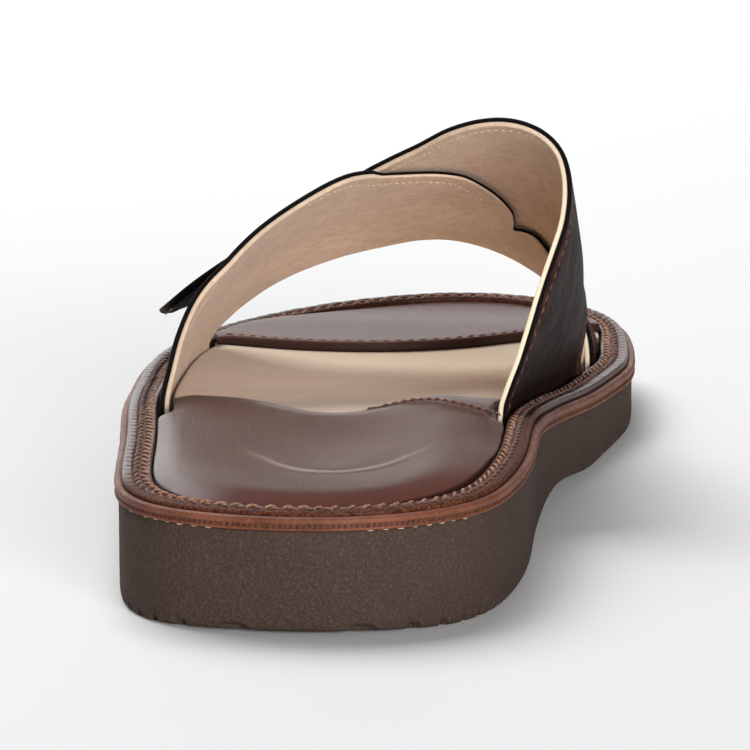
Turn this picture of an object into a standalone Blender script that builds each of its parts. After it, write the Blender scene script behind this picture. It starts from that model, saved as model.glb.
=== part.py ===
"""House slipper, left shoe: an open leather slide with two bands that cross over the instep.

Sizes are in millimetres in the shoe's own frame while the shapes are worked out (y from the back of the heel to the
toe, +x to the medial side, z up from the floor) and are written to the scene in metres, with the origin at the
middle of the shoe's floor area.
"""

import math
from collections import namedtuple

import bmesh
import bpy
import numpy as np

# ---- driving dimensions, mm -------------------------------------------------------------------------------------
LENGTH = 277.5          # heel back to toe tip, over the welt
WALL = 2.5              # leather and lining of a band
GAP = 0.35              # clearance between neighbouring pieces
SLOT_PLAY = 0.5         # clearance on each side of a band's foot, to the rand and to the footbed
RAND_WIDTH = 7.0        # the rand's inner wall, in from the welt's edge, at the middle of the shoe
RAND_SKEW = 0.6         # wider on the lateral side and narrower on the medial side by this much
RAND_BALL = 1.4         # wider again at the medial ball
RAND_RISE = 1.6         # the rand's top over the welt's
RAND_BACK = 0.9         # and at the back of the heel
RAND_SET = 1.0          # the rand's outer wall, in from the welt's edge
SOLE_SET = 0.8          # the outsole's wall, in from the welt's edge
PAD_RISE = 1.7          # thickness of the leather pads on the footbed
OVER_RISE = 1.7         # how far the over band's lining lies above the last where the bands cross
TAB_LIFT = 5.6          # how far the tip of the tab stands off
TAB_TIP, TAB_ROOT = 0.105, 0.27   # where the tab ends and where it leaves the under band, along the last's girth
UPRIGHT = 4.2           # the bands stand upright in their slots up to this height
LEAN_FROM = 6.5         # and lean over to the medial side from this height
LEAN_POWER = 0.2
SWELL = 1.8             # the last's medial side stands out by this much,
SWELL_OVER = 26.0       # full at this height over the upright feet
RING = 96               # points round the outline
HALF = RING // 2

Edge = namedtuple("Edge", "x y")
Side = namedtuple("Side", "y bottom top welt")
Section = namedtuple("Section", "y top centre lean n_lateral n_medial")
Band = namedtuple("Band", "t rear front")

# The welt's outer edge, from the heel back round the lateral side to the toe and home along the medial side.
OUTLINE = [
    Edge(3.0, 0.0), Edge(-8.0, 0.7), Edge(-17.5, 3.3), Edge(-27.5, 9.2), Edge(-35.5, 20.8), Edge(-39.5, 39.0),
    Edge(-42.6, 68.0), Edge(-48.6, 116.0), Edge(-53.2, 165.0), Edge(-54.3, 200.0), Edge(-51.6, 220.0),
    Edge(-44.8, 238.0), Edge(-38.2, 249.2), Edge(-27.4, 260.8), Edge(-15.6, 269.3), Edge(-3.5, 275.0),
    Edge(8.5, LENGTH), Edge(26.5, 273.4), Edge(43.7, 256.6), Edge(49.9, 234.0), Edge(51.6, 216.0),
    Edge(51.9, 202.0), Edge(50.3, 187.0), Edge(45.8, 156.0), Edge(41.3, 127.0), Edge(39.6, 97.0),
    Edge(40.5, 64.0), Edge(39.0, 38.0), Edge(35.0, 21.0), Edge(27.2, 9.8), Edge(15.0, 2.4),
]
# The sole from the side: the underside with its waist and toe spring, the outsole's top, the welt's thickness.
SIDE = [
    Side(0, 1.0, 20.5, 2.8), Side(15, 0.0, 20.4, 2.8), Side(45, 0.0, 20.2, 3.0), Side(95, 0.0, 19.1, 3.3),
    Side(130, 2.6, 15.9, 3.3), Side(165, 0.0, 12.7, 3.2), Side(198, 0.0, 11.1, 3.2), Side(218, 0.0, 10.7, 3.2),
    Side(245, 1.2, 10.8, 3.3), Side(LENGTH, 4.4, 11.9, 3.5),
]
# The last over the instep: two quarters of a superellipse on each section, leaning to the medial side with height.
LAST = [
    Section(80, 90.0, 10.0, 0.30, 3.10, 2.75), Section(105, 84.0, 10.0, 0.30, 2.38, 2.72),
    Section(112, 81.9, 10.0, 0.299, 1.92, 2.70), Section(127, 77.0, 10.0, 0.295, 1.82, 2.65),
    Section(156, 63.5, 10.0, 0.24, 1.78, 2.55), Section(176, 53.3, 9.0, 0.15, 1.70, 2.35),
    Section(198, 41.0, 8.0, 0.06, 1.66, 2.05), Section(217, 35.4, 7.0, 0.02, 1.58, 1.80),
    Section(235, 32.2, 6.0, 0.0, 1.52, 1.66),
]
# Each band's rear and front edge along the girth t, 0 at the lateral foot and 1 at the medial foot.
UNDER = [
    Band(0.00, 98.0, 214.5), Band(0.08, 101.5, 214.5), Band(0.16, 106.5, 210.0), Band(0.25, 115.0, 202.0),
    Band(0.34, 128.5, 196.8), Band(0.40, 136.0, 196.4), Band(0.45, 145.5, 196.4), Band(0.49, 151.2, 195.8),
    Band(0.54, 156.3, 194.8), Band(0.575, 160.0, 194.8), Band(0.61, 165.3, 195.4), Band(0.648, 171.0, 196.9),
    Band(0.672, 175.5, 198.4), Band(0.684, 179.8, 199.4), Band(0.690, 183.2, 199.8), Band(0.704, 182.0, 201.0),
    Band(0.725, 181.0, 202.8), Band(0.75, 182.3, 204.6), Band(0.80, 187.0, 207.2), Band(0.85, 194.0, 209.8),
    Band(0.894, 199.5, 213.4), Band(0.95, 200.5, 219.5), Band(1.00, 200.0, 224.5),
]
OVER = [
    Band(TAB_TIP, 163.0, 182.0), Band(0.118, 157.5, 187.0), Band(0.16, 154.0, 190.5), Band(0.24, 154.5, 192.0),
    Band(0.33, 158.0, 191.5), Band(0.39, 155.0, 190.8), Band(0.43, 148.0, 190.3), Band(0.464, 145.2, 189.8),
    Band(0.50, 142.0, 189.2), Band(0.54, 134.8, 188.5), Band(0.59, 129.3, 187.5), Band(0.64, 126.8, 189.5),
    Band(0.70, 121.0, 191.0), Band(0.74, 115.4, 190.5), Band(0.77, 111.5, 189.0), Band(0.81, 107.9, 185.0), Band(0.85, 105.0, 182.0),
    Band(0.93, 101.0, 183.5), Band(1.00, 98.0, 192.0),
]
UNDER_STEPS, OVER_STEPS, BAND_CELLS = 44, 40, 8

# Footbed: how far its suede lies above the outsole, the heel cup, and the raised arch and outer side.
BED_RISE, CUP_DEPTH, ARCH_RISE, OUTER_RISE = 4.4, 2.9, 2.4, 0.9
CUP_X, CUP_Y, CUP_HALF_WIDTH, CUP_HALF_LENGTH = 1.5, 54.0, 23.0, 31.0
# The bed rolls down to its rim round the heel, and dips towards the toe.
HEEL_Y, HEEL_HALF_LENGTH, HEEL_HALF_WIDTH, BACK_ROLL, SIDE_ROLL = 45.0, 38.0, 33.0, 2.75, 1.0
TOE_DROP, ARCH_ROLL = 2.1, 1.7
PAD_INSET = 0.6
Pad = namedtuple("Pad", "rows lateral medial dip middle reach")    # where a pad ends on each side, and the dip of that edge to the heel
HEEL_PAD = Pad(18, 114.5, 114.5, 17.0, -2.8, 16.0)
TOE_PAD = Pad(12, 217.0, 238.0, 17.0, 1.0, 42.0)
BED_COLUMNS, PAD_COLUMNS = 8, 12


# ---- curves and tables ------------------------------------------------------------------------------------------
def closed_curve(points, steps):
    """A smooth closed curve through the points: a periodic cubic with even tangents."""
    p = np.array(points, float)
    m = len(p)
    h = np.linalg.norm(np.roll(p, -1, 0) - p, axis=1) ** 0.75
    matrix, right = np.zeros((m, m)), np.zeros((m, 2))
    for i in range(m):
        before, after, nxt = h[i - 1], h[i], (i + 1) % m
        matrix[i, i - 1] += 1 / before
        matrix[i, i] += 2 / before + 2 / after
        matrix[i, nxt] += 1 / after
        right[i] = 3 * ((p[i] - p[i - 1]) / before**2 + (p[nxt] - p[i]) / after**2)
    slope = np.linalg.solve(matrix, right)
    w = np.linspace(0, 1, steps, endpoint=False)[:, None]
    runs = []
    for i in range(m):
        j = (i + 1) % m
        runs.append(
            (2 * w**3 - 3 * w**2 + 1) * p[i] + (w**3 - 2 * w**2 + w) * h[i] * slope[i]
            + (3 * w**2 - 2 * w**3) * p[j] + (w**3 - w**2) * h[i] * slope[j]
        )
    return np.concatenate(runs)


def evenly(curve, parts):
    run = np.concatenate([[0], np.cumsum(np.linalg.norm(np.diff(curve, axis=0), axis=1))])
    at = np.linspace(0, run[-1], parts + 1)
    return np.stack([np.interp(at, run, curve[:, 0]), np.interp(at, run, curve[:, 1])], 1)


def outline_ring(count):
    """Points round the welt's edge, the first at the heel back and the middle one at the toe tip."""
    curve = closed_curve(OUTLINE, 40)
    toe = int(np.argmax(curve[:, 1]))
    lateral, medial = curve[: toe + 1], np.concatenate([curve[toe:], curve[:1]])
    return np.concatenate([evenly(lateral, count // 2)[:-1], evenly(medial, count // 2)[:-1]])


def inward(ring):
    along = np.roll(ring, -1, 0) - np.roll(ring, 1, 0)
    along /= np.linalg.norm(along, axis=1)[:, None]
    return np.stack([along[:, 1], -along[:, 0]], 1)


def through(table, key, column, at):
    """A smooth curve through one column of a table, with no overshoot between its rows."""
    x = np.array([getattr(row, key) for row in table], float)
    y = np.array([getattr(row, column) for row in table], float)
    step = np.diff(y) / np.diff(x)
    slope = np.zeros_like(y)
    same = step[:-1] * step[1:] > 0
    slope[1:-1][same] = (2 * step[:-1] * step[1:])[same] / (step[:-1] + step[1:])[same]
    slope[0], slope[-1] = step[0], step[-1]
    at = np.clip(np.asarray(at, float), x[0], x[-1])
    i = np.clip(np.searchsorted(x, at, side="right") - 1, 0, len(x) - 2)
    h = x[i + 1] - x[i]
    w = (at - x[i]) / h
    return (
        (2 * w**3 - 3 * w**2 + 1) * y[i] + (w**3 - 2 * w**2 + w) * h * slope[i]
        + (3 * w**2 - 2 * w**3) * y[i + 1] + (w**3 - w**2) * h * slope[i + 1]
    )


def ease(x, lo, hi):
    w = np.clip((np.asarray(x, float) - lo) / (hi - lo), 0, 1)
    return w * w * (3 - 2 * w)


# ---- the sole's heights and the rand's inner wall ----------------------------------------------------------------
def sole_bottom(y):
    return through(SIDE, "y", "bottom", y)


def sole_top(y):
    return through(SIDE, "y", "top", y)


def welt_rise(y):
    return through(SIDE, "y", "welt", y)


def rand_rise(y):
    return RAND_BACK + (RAND_RISE - RAND_BACK) * ease(y, 10.0, 60.0)


def rand_width(ring):
    x, y = ring[:, 0], ring[:, 1]
    return RAND_WIDTH - RAND_SKEW * x / 54.0 + RAND_BALL * ease(x, 5.0, 42.0) * ease(y, 120.0, 195.0) * (1 - ease(y, 215, 250))


EDGE = outline_ring(RING)
IN = inward(EDGE)
FINE = outline_ring(600)
FINE_IN = inward(FINE)


def side_lines(depth):
    """The lateral and the medial line, as (y, x), of the curve this far in from the welt's edge."""
    line = FINE + FINE_IN * depth[:, None]
    halves = line[:300], line[300:]
    return [half[np.argsort(half[:, 1])][:, ::-1] for half in halves]


LAST_FOOT = side_lines(rand_width(FINE) + SLOT_PLAY + WALL)


def slot(x, y):
    """Room beside the footbed for the bands' feet: 1 along them, 0 at the heel and the toe."""
    front = np.where(np.asarray(x) < 0, 220.0, 228.0)
    return ease(y, 83.0, 91.0) * (1 - ease(np.asarray(y) - front, 0.0, 6.0))


def bed_depth(ring):
    return rand_width(ring) + GAP + slot(ring[:, 0], ring[:, 1]) * (WALL + 2 * SLOT_PLAY - GAP)


BED_SIDES = side_lines(bed_depth(FINE))


def bed_top(x, y):
    """The suede's height: a heel cup, a raised arch on the medial side and a slightly raised outer side."""
    left = np.interp(y, BED_SIDES[0][:, 0], BED_SIDES[0][:, 1])
    right = np.interp(y, BED_SIDES[1][:, 0], BED_SIDES[1][:, 1])
    u = (x - (left + right) / 2) / np.maximum((right - left) / 2, 22.0)
    cup = np.exp(-((((x - CUP_X) / CUP_HALF_WIDTH) ** 2 + ((y - CUP_Y) / CUP_HALF_LENGTH) ** 2) ** 1.6))
    waist = ease(y, 50, 105) * (1 - ease(y, 135, 190))
    behind = np.maximum(HEEL_Y - y, 0.0) / HEEL_HALF_LENGTH
    out = np.maximum(np.hypot(x / HEEL_HALF_WIDTH, behind), 1e-6)
    roll = SIDE_ROLL * (1 - ease(y, 60.0, 100.0)) + (BACK_ROLL - SIDE_ROLL) * (behind / out) ** 2
    arch_roll = ARCH_ROLL * ease(u, 0.62, 1.0) * ease(y, 45.0, 75.0) * (1 - ease(y, 105.0, 125.0))
    return (
        sole_top(y) + BED_RISE - CUP_DEPTH * cup - roll * ease(out, 0.34, 1.09) - TOE_DROP * ease(y, 232.0, 268.0) - arch_roll
        + waist * (ARCH_RISE * ease(u, 0.15, 1.0) + OUTER_RISE * ease(-u, 0.3, 1.0))
    )


# ---- the last under the bands ------------------------------------------------------------------------------------
QUARTER = np.linspace(0, math.pi / 2, 81)


def last_sections(y):
    """The last's section at each y, from the lateral foot over the top to the medial foot, as arrays of x and z."""
    top, centre, lean, n_lat, n_med = (
        through(LAST, "y", column, y)[:, None] for column in ("top", "centre", "lean", "n_lateral", "n_medial")
    )
    foot = sole_top(y)[:, None] + GAP
    lateral = np.interp(y, LAST_FOOT[0][:, 0], LAST_FOOT[0][:, 1])[:, None]
    medial = np.interp(y, LAST_FOOT[1][:, 0], LAST_FOOT[1][:, 1])[:, None]
    c, s = np.cos(QUARTER)[None, :], np.sin(QUARTER)[None, :]
    over_lateral = centre + (lateral - centre) * c ** (2 / n_lat)
    over_medial = centre + (medial - centre) * c ** (2 / n_med)
    spring = foot + UPRIGHT
    arch_medial = spring + (top - spring) * s ** (2 / n_med)
    arch = np.concatenate([spring + (top - spring) * s ** (2 / n_lat), arch_medial[:, -2::-1]], 1)
    swell = SWELL * ease(y, 102.0, 117.0)[:, None] * ease(arch_medial - spring, 0.0, SWELL_OVER) * (1 - ease(QUARTER, 1.0, math.pi / 2))
    x = np.concatenate([lateral, over_lateral, (over_medial + swell)[:, -2::-1], medial], 1)
    z = np.concatenate([foot, arch, foot], 1)
    up = np.maximum(z - foot - LEAN_FROM, 0.0)
    return x + lean * up * (up / (top - foot - LEAN_FROM)) ** LEAN_POWER, z


def last_points(y, t):
    """Points on the last and the girth there: t runs from 0 at the lateral foot to 1 at the medial foot."""
    x, z = last_sections(y)
    run = np.concatenate([np.zeros((len(y), 1)), np.cumsum(np.hypot(np.diff(x, axis=1), np.diff(z, axis=1)), 1)], 1)
    at = t * run[:, -1]
    i = np.clip((run <= at[:, None]).sum(1) - 1, 0, x.shape[1] - 2)
    r = np.arange(len(y))
    w = (at - run[r, i]) / (run[r, i + 1] - run[r, i])
    return np.stack([x[r, i] + w * (x[r, i + 1] - x[r, i]), y, z[r, i] + w * (z[r, i + 1] - z[r, i])], 1), run[:, -1]


def last_normals(y, t):
    forward = last_points(y + 0.5, t)[0] - last_points(y - 0.5, t)[0]
    around = last_points(y, np.minimum(t + 0.004, 1))[0] - last_points(y, np.maximum(t - 0.004, 0))[0]
    out = np.cross(around, forward)
    return out / np.linalg.norm(out, axis=1)[:, None]


def over_rise(y, t):
    """The over band's lining above the last: down on it at the medial foot, over the other band, and off at the tab."""
    girth = last_points(y, t)[1]
    lift = np.clip((TAB_ROOT - t) / (TAB_ROOT - TAB_TIP), 0, 1)
    return OVER_RISE * ease(girth * (1 - t), 3.0, 18.0) + TAB_LIFT * lift**2


# ---- meshes ------------------------------------------------------------------------------------------------------
X0 = (EDGE[:, 0].min() + EDGE[:, 0].max()) / 2
Y0 = (EDGE[:, 1].min() + EDGE[:, 1].max()) / 2


def solid(name, points, faces, colour, roughness):
    mesh = bpy.data.meshes.new(name)
    points = (np.asarray(points, float) - [X0, Y0, 0.0]) / 1000.0
    mesh.from_pydata(points.tolist(), [], faces)
    shape = bmesh.new()
    shape.from_mesh(mesh)
    bmesh.ops.recalc_face_normals(shape, faces=shape.faces[:])
    if shape.calc_volume(signed=True) < 0:
        bmesh.ops.reverse_faces(shape, faces=shape.faces[:])
    shape.to_mesh(mesh)
    shape.free()
    mesh.shade_smooth()
    mesh.set_sharp_from_angle(angle=math.radians(35))
    obj = bpy.data.objects.new(name, mesh)
    bpy.context.scene.collection.objects.link(obj)
    material = bpy.data.materials.new(name)
    material.use_nodes = True
    shader = material.node_tree.nodes["Principled BSDF"]
    shader.inputs["Base Color"].default_value = (*colour, 1.0)
    shader.inputs["Roughness"].default_value = roughness
    shader.inputs["Metallic"].default_value = 0.0
    mesh.materials.append(material)
    return obj


def loops(rows):
    """Quads between the closed loops of equal length that follow one another in the list of points."""
    count = len(rows[0])
    return [
        (r * count + i, r * count + (i + 1) % count, (r + 1) * count + (i + 1) % count, (r + 1) * count + i)
        for r in range(len(rows) - 1)
        for i in range(count)
    ]


def at_depth(depth, z):
    return np.column_stack([EDGE + IN * np.broadcast_to(depth, (RING,))[:, None], np.broadcast_to(z, (RING,))])


def ring_piece(name, profile, colour, roughness):
    """A closed strip round the shoe: profile holds (depth, z) round its section."""
    rows = [at_depth(depth, z) for depth, z in profile]
    return solid(name, np.concatenate(rows), loops(rows + rows[:1])[: -RING] + [
        ((len(rows) - 1) * RING + i, (len(rows) - 1) * RING + (i + 1) % RING, (i + 1) % RING, i) for i in range(RING)
    ], colour, roughness)


def lid(points, ring_start, columns, height):
    """Faces across a ring of the point list, from its lateral to its medial side, with new points at height(x, y)."""
    ring = np.array(points[ring_start : ring_start + RING])
    rows = [[ring_start]]
    for i in range(1, HALF):
        a, b = ring[i], ring[RING - i]
        row = [ring_start + i]
        for c in range(1, columns):
            x, y = a[:2] + (b[:2] - a[:2]) * c / columns
            row.append(len(points))
            points.append((x, y, float(height(np.array([x]), np.array([y]))[0])))
        rows.append(row + [ring_start + RING - i])
    rows.append([ring_start + HALF])
    faces = []
    for low, high in zip(rows[:-1], rows[1:]):
        for c in range(columns):
            a, b = low[min(c, len(low) - 1)], low[min(c + 1, len(low) - 1)]
            d, e = high[min(c, len(high) - 1)], high[min(c + 1, len(high) - 1)]
            face = [a, b, e, d]
            faces.append(tuple(dict.fromkeys(face)))
    return faces


def slab(name, walls, bottom_columns, bottom, top_columns, top, colour, roughness):
    """A closed slab of the shoe's outline: walls holds (depth, z) from its lower to its upper edge."""
    rows = [at_depth(depth, z) for depth, z in walls]
    points = [tuple(p) for p in np.concatenate(rows)]
    faces = loops(rows)
    faces += lid(points, 0, bottom_columns, bottom)
    faces += lid(points, (len(rows) - 1) * RING, top_columns, top)
    return solid(name, points, faces, colour, roughness)


def until(line, y):
    """The start of a line, up to where it passes y."""
    beyond = np.sign(line[:, 1] - y)
    i = int(np.argmax(beyond != beyond[0]))
    w = (y - line[i - 1, 1]) / (line[i, 1] - line[i - 1, 1])
    return np.vstack([line[:i], line[i - 1] + w * (line[i] - line[i - 1])])


def pad(name, size, start, colour, roughness):
    """A leather overlay on the footbed, from the shoe's heel (start 0) or toe (start 300) to its free edge."""
    edge = np.roll(FINE + FINE_IN * (bed_depth(FINE) + PAD_INSET)[:, None], -start, 0)
    onward, back = edge[:301], np.vstack([edge[:1], edge[:299:-1]])
    lateral, medial = (onward, back) if start == 0 else (back, onward)
    sides = zip(evenly(until(lateral, size.lateral), size.rows), evenly(until(medial, size.medial), size.rows))
    grid = []
    for r, (a, b) in enumerate(sides):
        across = np.linspace(0, 1, PAD_COLUMNS + 1)[:, None]
        row = a + (b - a) * across
        from_middle = np.clip((row[:, 0] - size.middle) / size.reach, -1, 1)
        row[:, 1] -= size.dip * (r / size.rows) ** 2 * (1 - from_middle**2) ** 1.2
        grid.append(row)
    grid[0] = grid[1] + (grid[0] - grid[1]) * 0.9   # a short edge in place of a point at the shoe's end
    flat = np.concatenate(grid)
    bed = bed_top(flat[:, 0], flat[:, 1]) + GAP
    low = np.column_stack([flat, bed])
    high = np.column_stack([flat, bed + PAD_RISE])
    count, width = len(flat), PAD_COLUMNS + 1
    faces = patch_faces(len(grid), width, count)
    return solid(name, np.concatenate([low, high]), faces, colour, roughness)


def patch_faces(rows, width, count):
    """Faces of a closed sheet made of two grids of points, the lower one first."""
    faces = []
    for r in range(rows - 1):
        for c in range(width - 1):
            a, b, d, e = r * width + c, r * width + c + 1, (r + 1) * width + c, (r + 1) * width + c + 1
            faces += [(a, d, e, b), (count + a, count + b, count + e, count + d)]
    rim = [c for c in range(width)] + [r * width + width - 1 for r in range(1, rows)]
    rim += [(rows - 1) * width + c for c in range(width - 2, -1, -1)] + [r * width for r in range(rows - 2, 0, -1)]
    for a, b in zip(rim, rim[1:] + rim[:1]):
        faces.append((a, b, count + b, count + a))
    return faces


def band(name, table, steps, rise, colour, roughness):
    """One band of the upper: a sheet of the wall's thickness on the last, between its rear and its front edge."""
    first, last = table[0].t, table[-1].t
    t = np.linspace(first, last, steps + 1)
    rear, front = through(table, "t", "rear", t), through(table, "t", "front", t)
    w = np.linspace(0, 1, BAND_CELLS + 1)
    y = (rear[:, None] + (front - rear)[:, None] * w[None, :]).ravel()
    tt = np.repeat(t, BAND_CELLS + 1)
    points, out = last_points(y, tt)[0], last_normals(y, tt)
    under = rise(y, tt)[:, None]
    low, high = points + out * under, points + out * (under + WALL)
    faces = patch_faces(steps + 1, BAND_CELLS + 1, len(y))
    return solid(name, np.concatenate([low, high]), faces, colour, roughness)


# ---- the shoe ----------------------------------------------------------------------------------------------------
def build():
    for old in list(bpy.data.objects):
        bpy.data.objects.remove(old, do_unlink=True)

    y = EDGE[:, 1]
    low, top, rise, over, width = sole_bottom(y), sole_top(y), welt_rise(y), rand_rise(y), rand_width(EDGE)

    slab(
        "outsole",
        [(SOLE_SET + 1.2, low), (SOLE_SET + 0.3, low + 0.7), (SOLE_SET, low + 2.2), (SOLE_SET, (low + top) / 2), (SOLE_SET + 0.1, top)],
        2, lambda x, v: sole_bottom(v), 2, lambda x, v: sole_top(v), (0.125, 0.085, 0.070), 0.85,
    )
    ring_piece(
        "welt",
        [(0.6, top + GAP), (0.0, top + 1.0), (0.0, top + rise - 1.0), (0.6, top + rise), (width, top + rise), (width, top + GAP)],
        (0.26, 0.10, 0.065), 0.5,
    )
    ring_piece(
        "rand",
        [(RAND_SET, top + rise + 0.3), (RAND_SET, top + rise + 0.5 * over), (RAND_SET + 1.0, top + rise + over),
         (width - 0.7, top + rise + over), (width, top + rise + over - 0.35), (width, top + rise + 0.3)],
        (0.085, 0.038, 0.028), 0.42,
    )
    depth = bed_depth(EDGE)
    edge = EDGE + IN * depth[:, None]
    rim = bed_top(edge[:, 0], edge[:, 1])
    brow = EDGE + IN * (depth + 1.0)[:, None]
    slab(
        "footbed",
        [(depth, top + GAP), (depth, rim - 0.7), (depth + 1.0, bed_top(brow[:, 0], brow[:, 1]))],
        2, lambda x, v: sole_top(v) + GAP, BED_COLUMNS, bed_top, (0.47, 0.33, 0.22), 0.95,
    )
    pad("heel_pad", HEEL_PAD, 0, (0.095, 0.045, 0.035), 0.4)
    pad("toe_pad", TOE_PAD, 300, (0.10, 0.048, 0.038), 0.45)

    upper = band("upper", UNDER, UNDER_STEPS, lambda v, t: np.zeros_like(v), (0.045, 0.020, 0.016), 0.35)
    crossing = band("over_band", OVER, OVER_STEPS, over_rise, (0.045, 0.020, 0.016), 0.35)
    crossing.hide_render = True
    crossing.display_type = "WIRE"
    joined = upper.modifiers.new("joined where the bands cross", "BOOLEAN")
    joined.operation = "UNION"
    joined.solver = "EXACT"
    joined.object = crossing


build()
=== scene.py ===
"""The house slipper's surfaces: fine meshes in the place of the solids, their materials, and a plain studio.

Shapes are worked out in millimetres in the shoe's own frame (y from the back of the heel to the toe, +x to the medial
side, z up from the floor) and are written in metres in the frame of the solids.
"""

import math
from collections import namedtuple

import bmesh
import bpy
import numpy as np
from mathutils import Matrix, Vector


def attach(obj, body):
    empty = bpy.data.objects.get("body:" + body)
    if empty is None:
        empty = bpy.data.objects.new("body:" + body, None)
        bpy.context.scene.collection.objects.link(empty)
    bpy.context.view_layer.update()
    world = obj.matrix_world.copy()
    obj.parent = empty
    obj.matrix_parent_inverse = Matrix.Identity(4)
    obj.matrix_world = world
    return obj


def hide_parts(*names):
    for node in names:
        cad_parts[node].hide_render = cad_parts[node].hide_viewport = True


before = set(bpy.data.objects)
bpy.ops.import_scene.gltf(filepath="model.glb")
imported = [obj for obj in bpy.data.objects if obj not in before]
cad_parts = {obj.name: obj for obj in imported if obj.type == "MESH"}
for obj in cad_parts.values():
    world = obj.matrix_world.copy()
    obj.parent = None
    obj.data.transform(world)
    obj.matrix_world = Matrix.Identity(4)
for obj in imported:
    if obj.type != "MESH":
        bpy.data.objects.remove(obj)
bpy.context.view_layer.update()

# ---- driving dimensions, mm -------------------------------------------------------------------------------------
LENGTH = 277.5
WALL, SEAM = 2.5, 0.03                  # a band's thickness, and the line between its two layers
LINING_FROM, LINING_TO = 0.24, 0.64     # shares of that thickness between which the lining lies, under the leather
GAP, SLOT_PLAY = 0.35, 0.5
RAND_WIDTH, RAND_SKEW, RAND_BALL, RAND_RISE, RAND_BACK, RAND_SET = 7.0, 0.6, 1.4, 1.6, 0.9, 1.0
SOLE_SET, PAD_RISE, OVER_RISE = 0.8, 1.7, 1.7
TAB_LIFT, TAB_TIP, TAB_ROOT = 5.6, 0.105, 0.27
UPRIGHT, LEAN_FROM, LEAN_POWER, SWELL, SWELL_OVER = 4.2, 6.5, 0.2, 1.8, 26.0
BED_RISE, CUP_DEPTH, ARCH_RISE, OUTER_RISE = 4.4, 2.9, 2.4, 0.9
CUP_X, CUP_Y, CUP_HALF_WIDTH, CUP_HALF_LENGTH = 1.5, 54.0, 23.0, 31.0
HEEL_Y, HEEL_HALF_LENGTH, HEEL_HALF_WIDTH, BACK_ROLL, SIDE_ROLL = 45.0, 38.0, 33.0, 2.75, 1.0
TOE_DROP, ARCH_ROLL = 2.1, 1.7
PAD_INSET, RAND_IN = -0.20, 1.5                          # a pad's rim from the bed's, and the rand's wall from the outline
RIB_PITCH, RIB_GROOVE, RIB_DEPTH = 4.2, 1.7, 1.1         # tread ribs across the sole
WHEEL_PITCH, WHEEL_DEPTH = 1.15, 0.30                    # wheel marks in the welt's groove
RAND_STITCH, BAND_STITCH, PAD_STITCH = 3.6, 2.6, 2.8     # stitch lengths
SEW_IN = 3.4                                             # a band's stitch line, in from its edge

Edge = namedtuple("Edge", "x y")
Side = namedtuple("Side", "y bottom top welt")
Section = namedtuple("Section", "y top centre lean n_lateral n_medial")
Band = namedtuple("Band", "t rear front")
Pad = namedtuple("Pad", "lateral medial dip middle reach")
Fold = namedtuple("Fold", "t0 y0 t1 y1 height width")

OUTLINE = [
    Edge(3.0, 0.0), Edge(-8.0, 0.7), Edge(-17.5, 3.3), Edge(-27.5, 9.2), Edge(-35.5, 20.8), Edge(-39.5, 39.0),
    Edge(-42.6, 68.0), Edge(-48.6, 116.0), Edge(-53.2, 165.0), Edge(-54.3, 200.0), Edge(-51.6, 220.0),
    Edge(-44.8, 238.0), Edge(-38.2, 249.2), Edge(-27.4, 260.8), Edge(-15.6, 269.3), Edge(-3.5, 275.0),
    Edge(8.5, LENGTH), Edge(26.5, 273.4), Edge(43.7, 256.6), Edge(49.9, 234.0), Edge(51.6, 216.0),
    Edge(51.9, 202.0), Edge(50.3, 187.0), Edge(45.8, 156.0), Edge(41.3, 127.0), Edge(39.6, 97.0),
    Edge(40.5, 64.0), Edge(39.0, 38.0), Edge(35.0, 21.0), Edge(27.2, 9.8), Edge(15.0, 2.4),
]
SIDE = [
    Side(0, 1.0, 20.5, 2.8), Side(15, 0.0, 20.4, 2.8), Side(45, 0.0, 20.2, 3.0), Side(95, 0.0, 19.1, 3.3),
    Side(130, 2.6, 15.9, 3.3), Side(165, 0.0, 12.7, 3.2), Side(198, 0.0, 11.1, 3.2), Side(218, 0.0, 10.7, 3.2),
    Side(245, 1.2, 10.8, 3.3), Side(LENGTH, 4.4, 11.9, 3.5),
]
LAST = [
    Section(80, 90.0, 10.0, 0.30, 3.10, 2.75), Section(105, 84.0, 10.0, 0.30, 2.38, 2.72),
    Section(112, 81.9, 10.0, 0.299, 1.92, 2.70), Section(127, 77.0, 10.0, 0.295, 1.82, 2.65),
    Section(156, 63.5, 10.0, 0.24, 1.78, 2.55), Section(176, 53.3, 9.0, 0.15, 1.70, 2.35),
    Section(198, 41.0, 8.0, 0.06, 1.66, 2.05), Section(217, 35.4, 7.0, 0.02, 1.58, 1.80),
    Section(235, 32.2, 6.0, 0.0, 1.52, 1.66),
]
UNDER = [
    Band(0.00, 98.0, 214.5), Band(0.08, 101.5, 214.5), Band(0.16, 106.5, 210.0), Band(0.25, 115.0, 202.0),
    Band(0.34, 128.5, 196.8), Band(0.40, 136.0, 196.4), Band(0.45, 145.5, 196.4), Band(0.49, 151.2, 195.8),
    Band(0.54, 156.3, 194.8), Band(0.575, 160.0, 194.8), Band(0.61, 165.3, 195.4), Band(0.648, 171.0, 196.9),
    Band(0.672, 175.5, 198.4), Band(0.684, 179.8, 199.4), Band(0.690, 183.2, 199.8), Band(0.704, 182.0, 201.0),
    Band(0.725, 181.0, 202.8), Band(0.75, 182.3, 204.6), Band(0.80, 187.0, 207.2), Band(0.85, 194.0, 209.8),
    Band(0.894, 199.5, 213.4), Band(0.95, 200.5, 219.5), Band(1.00, 200.0, 224.5),
]
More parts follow.
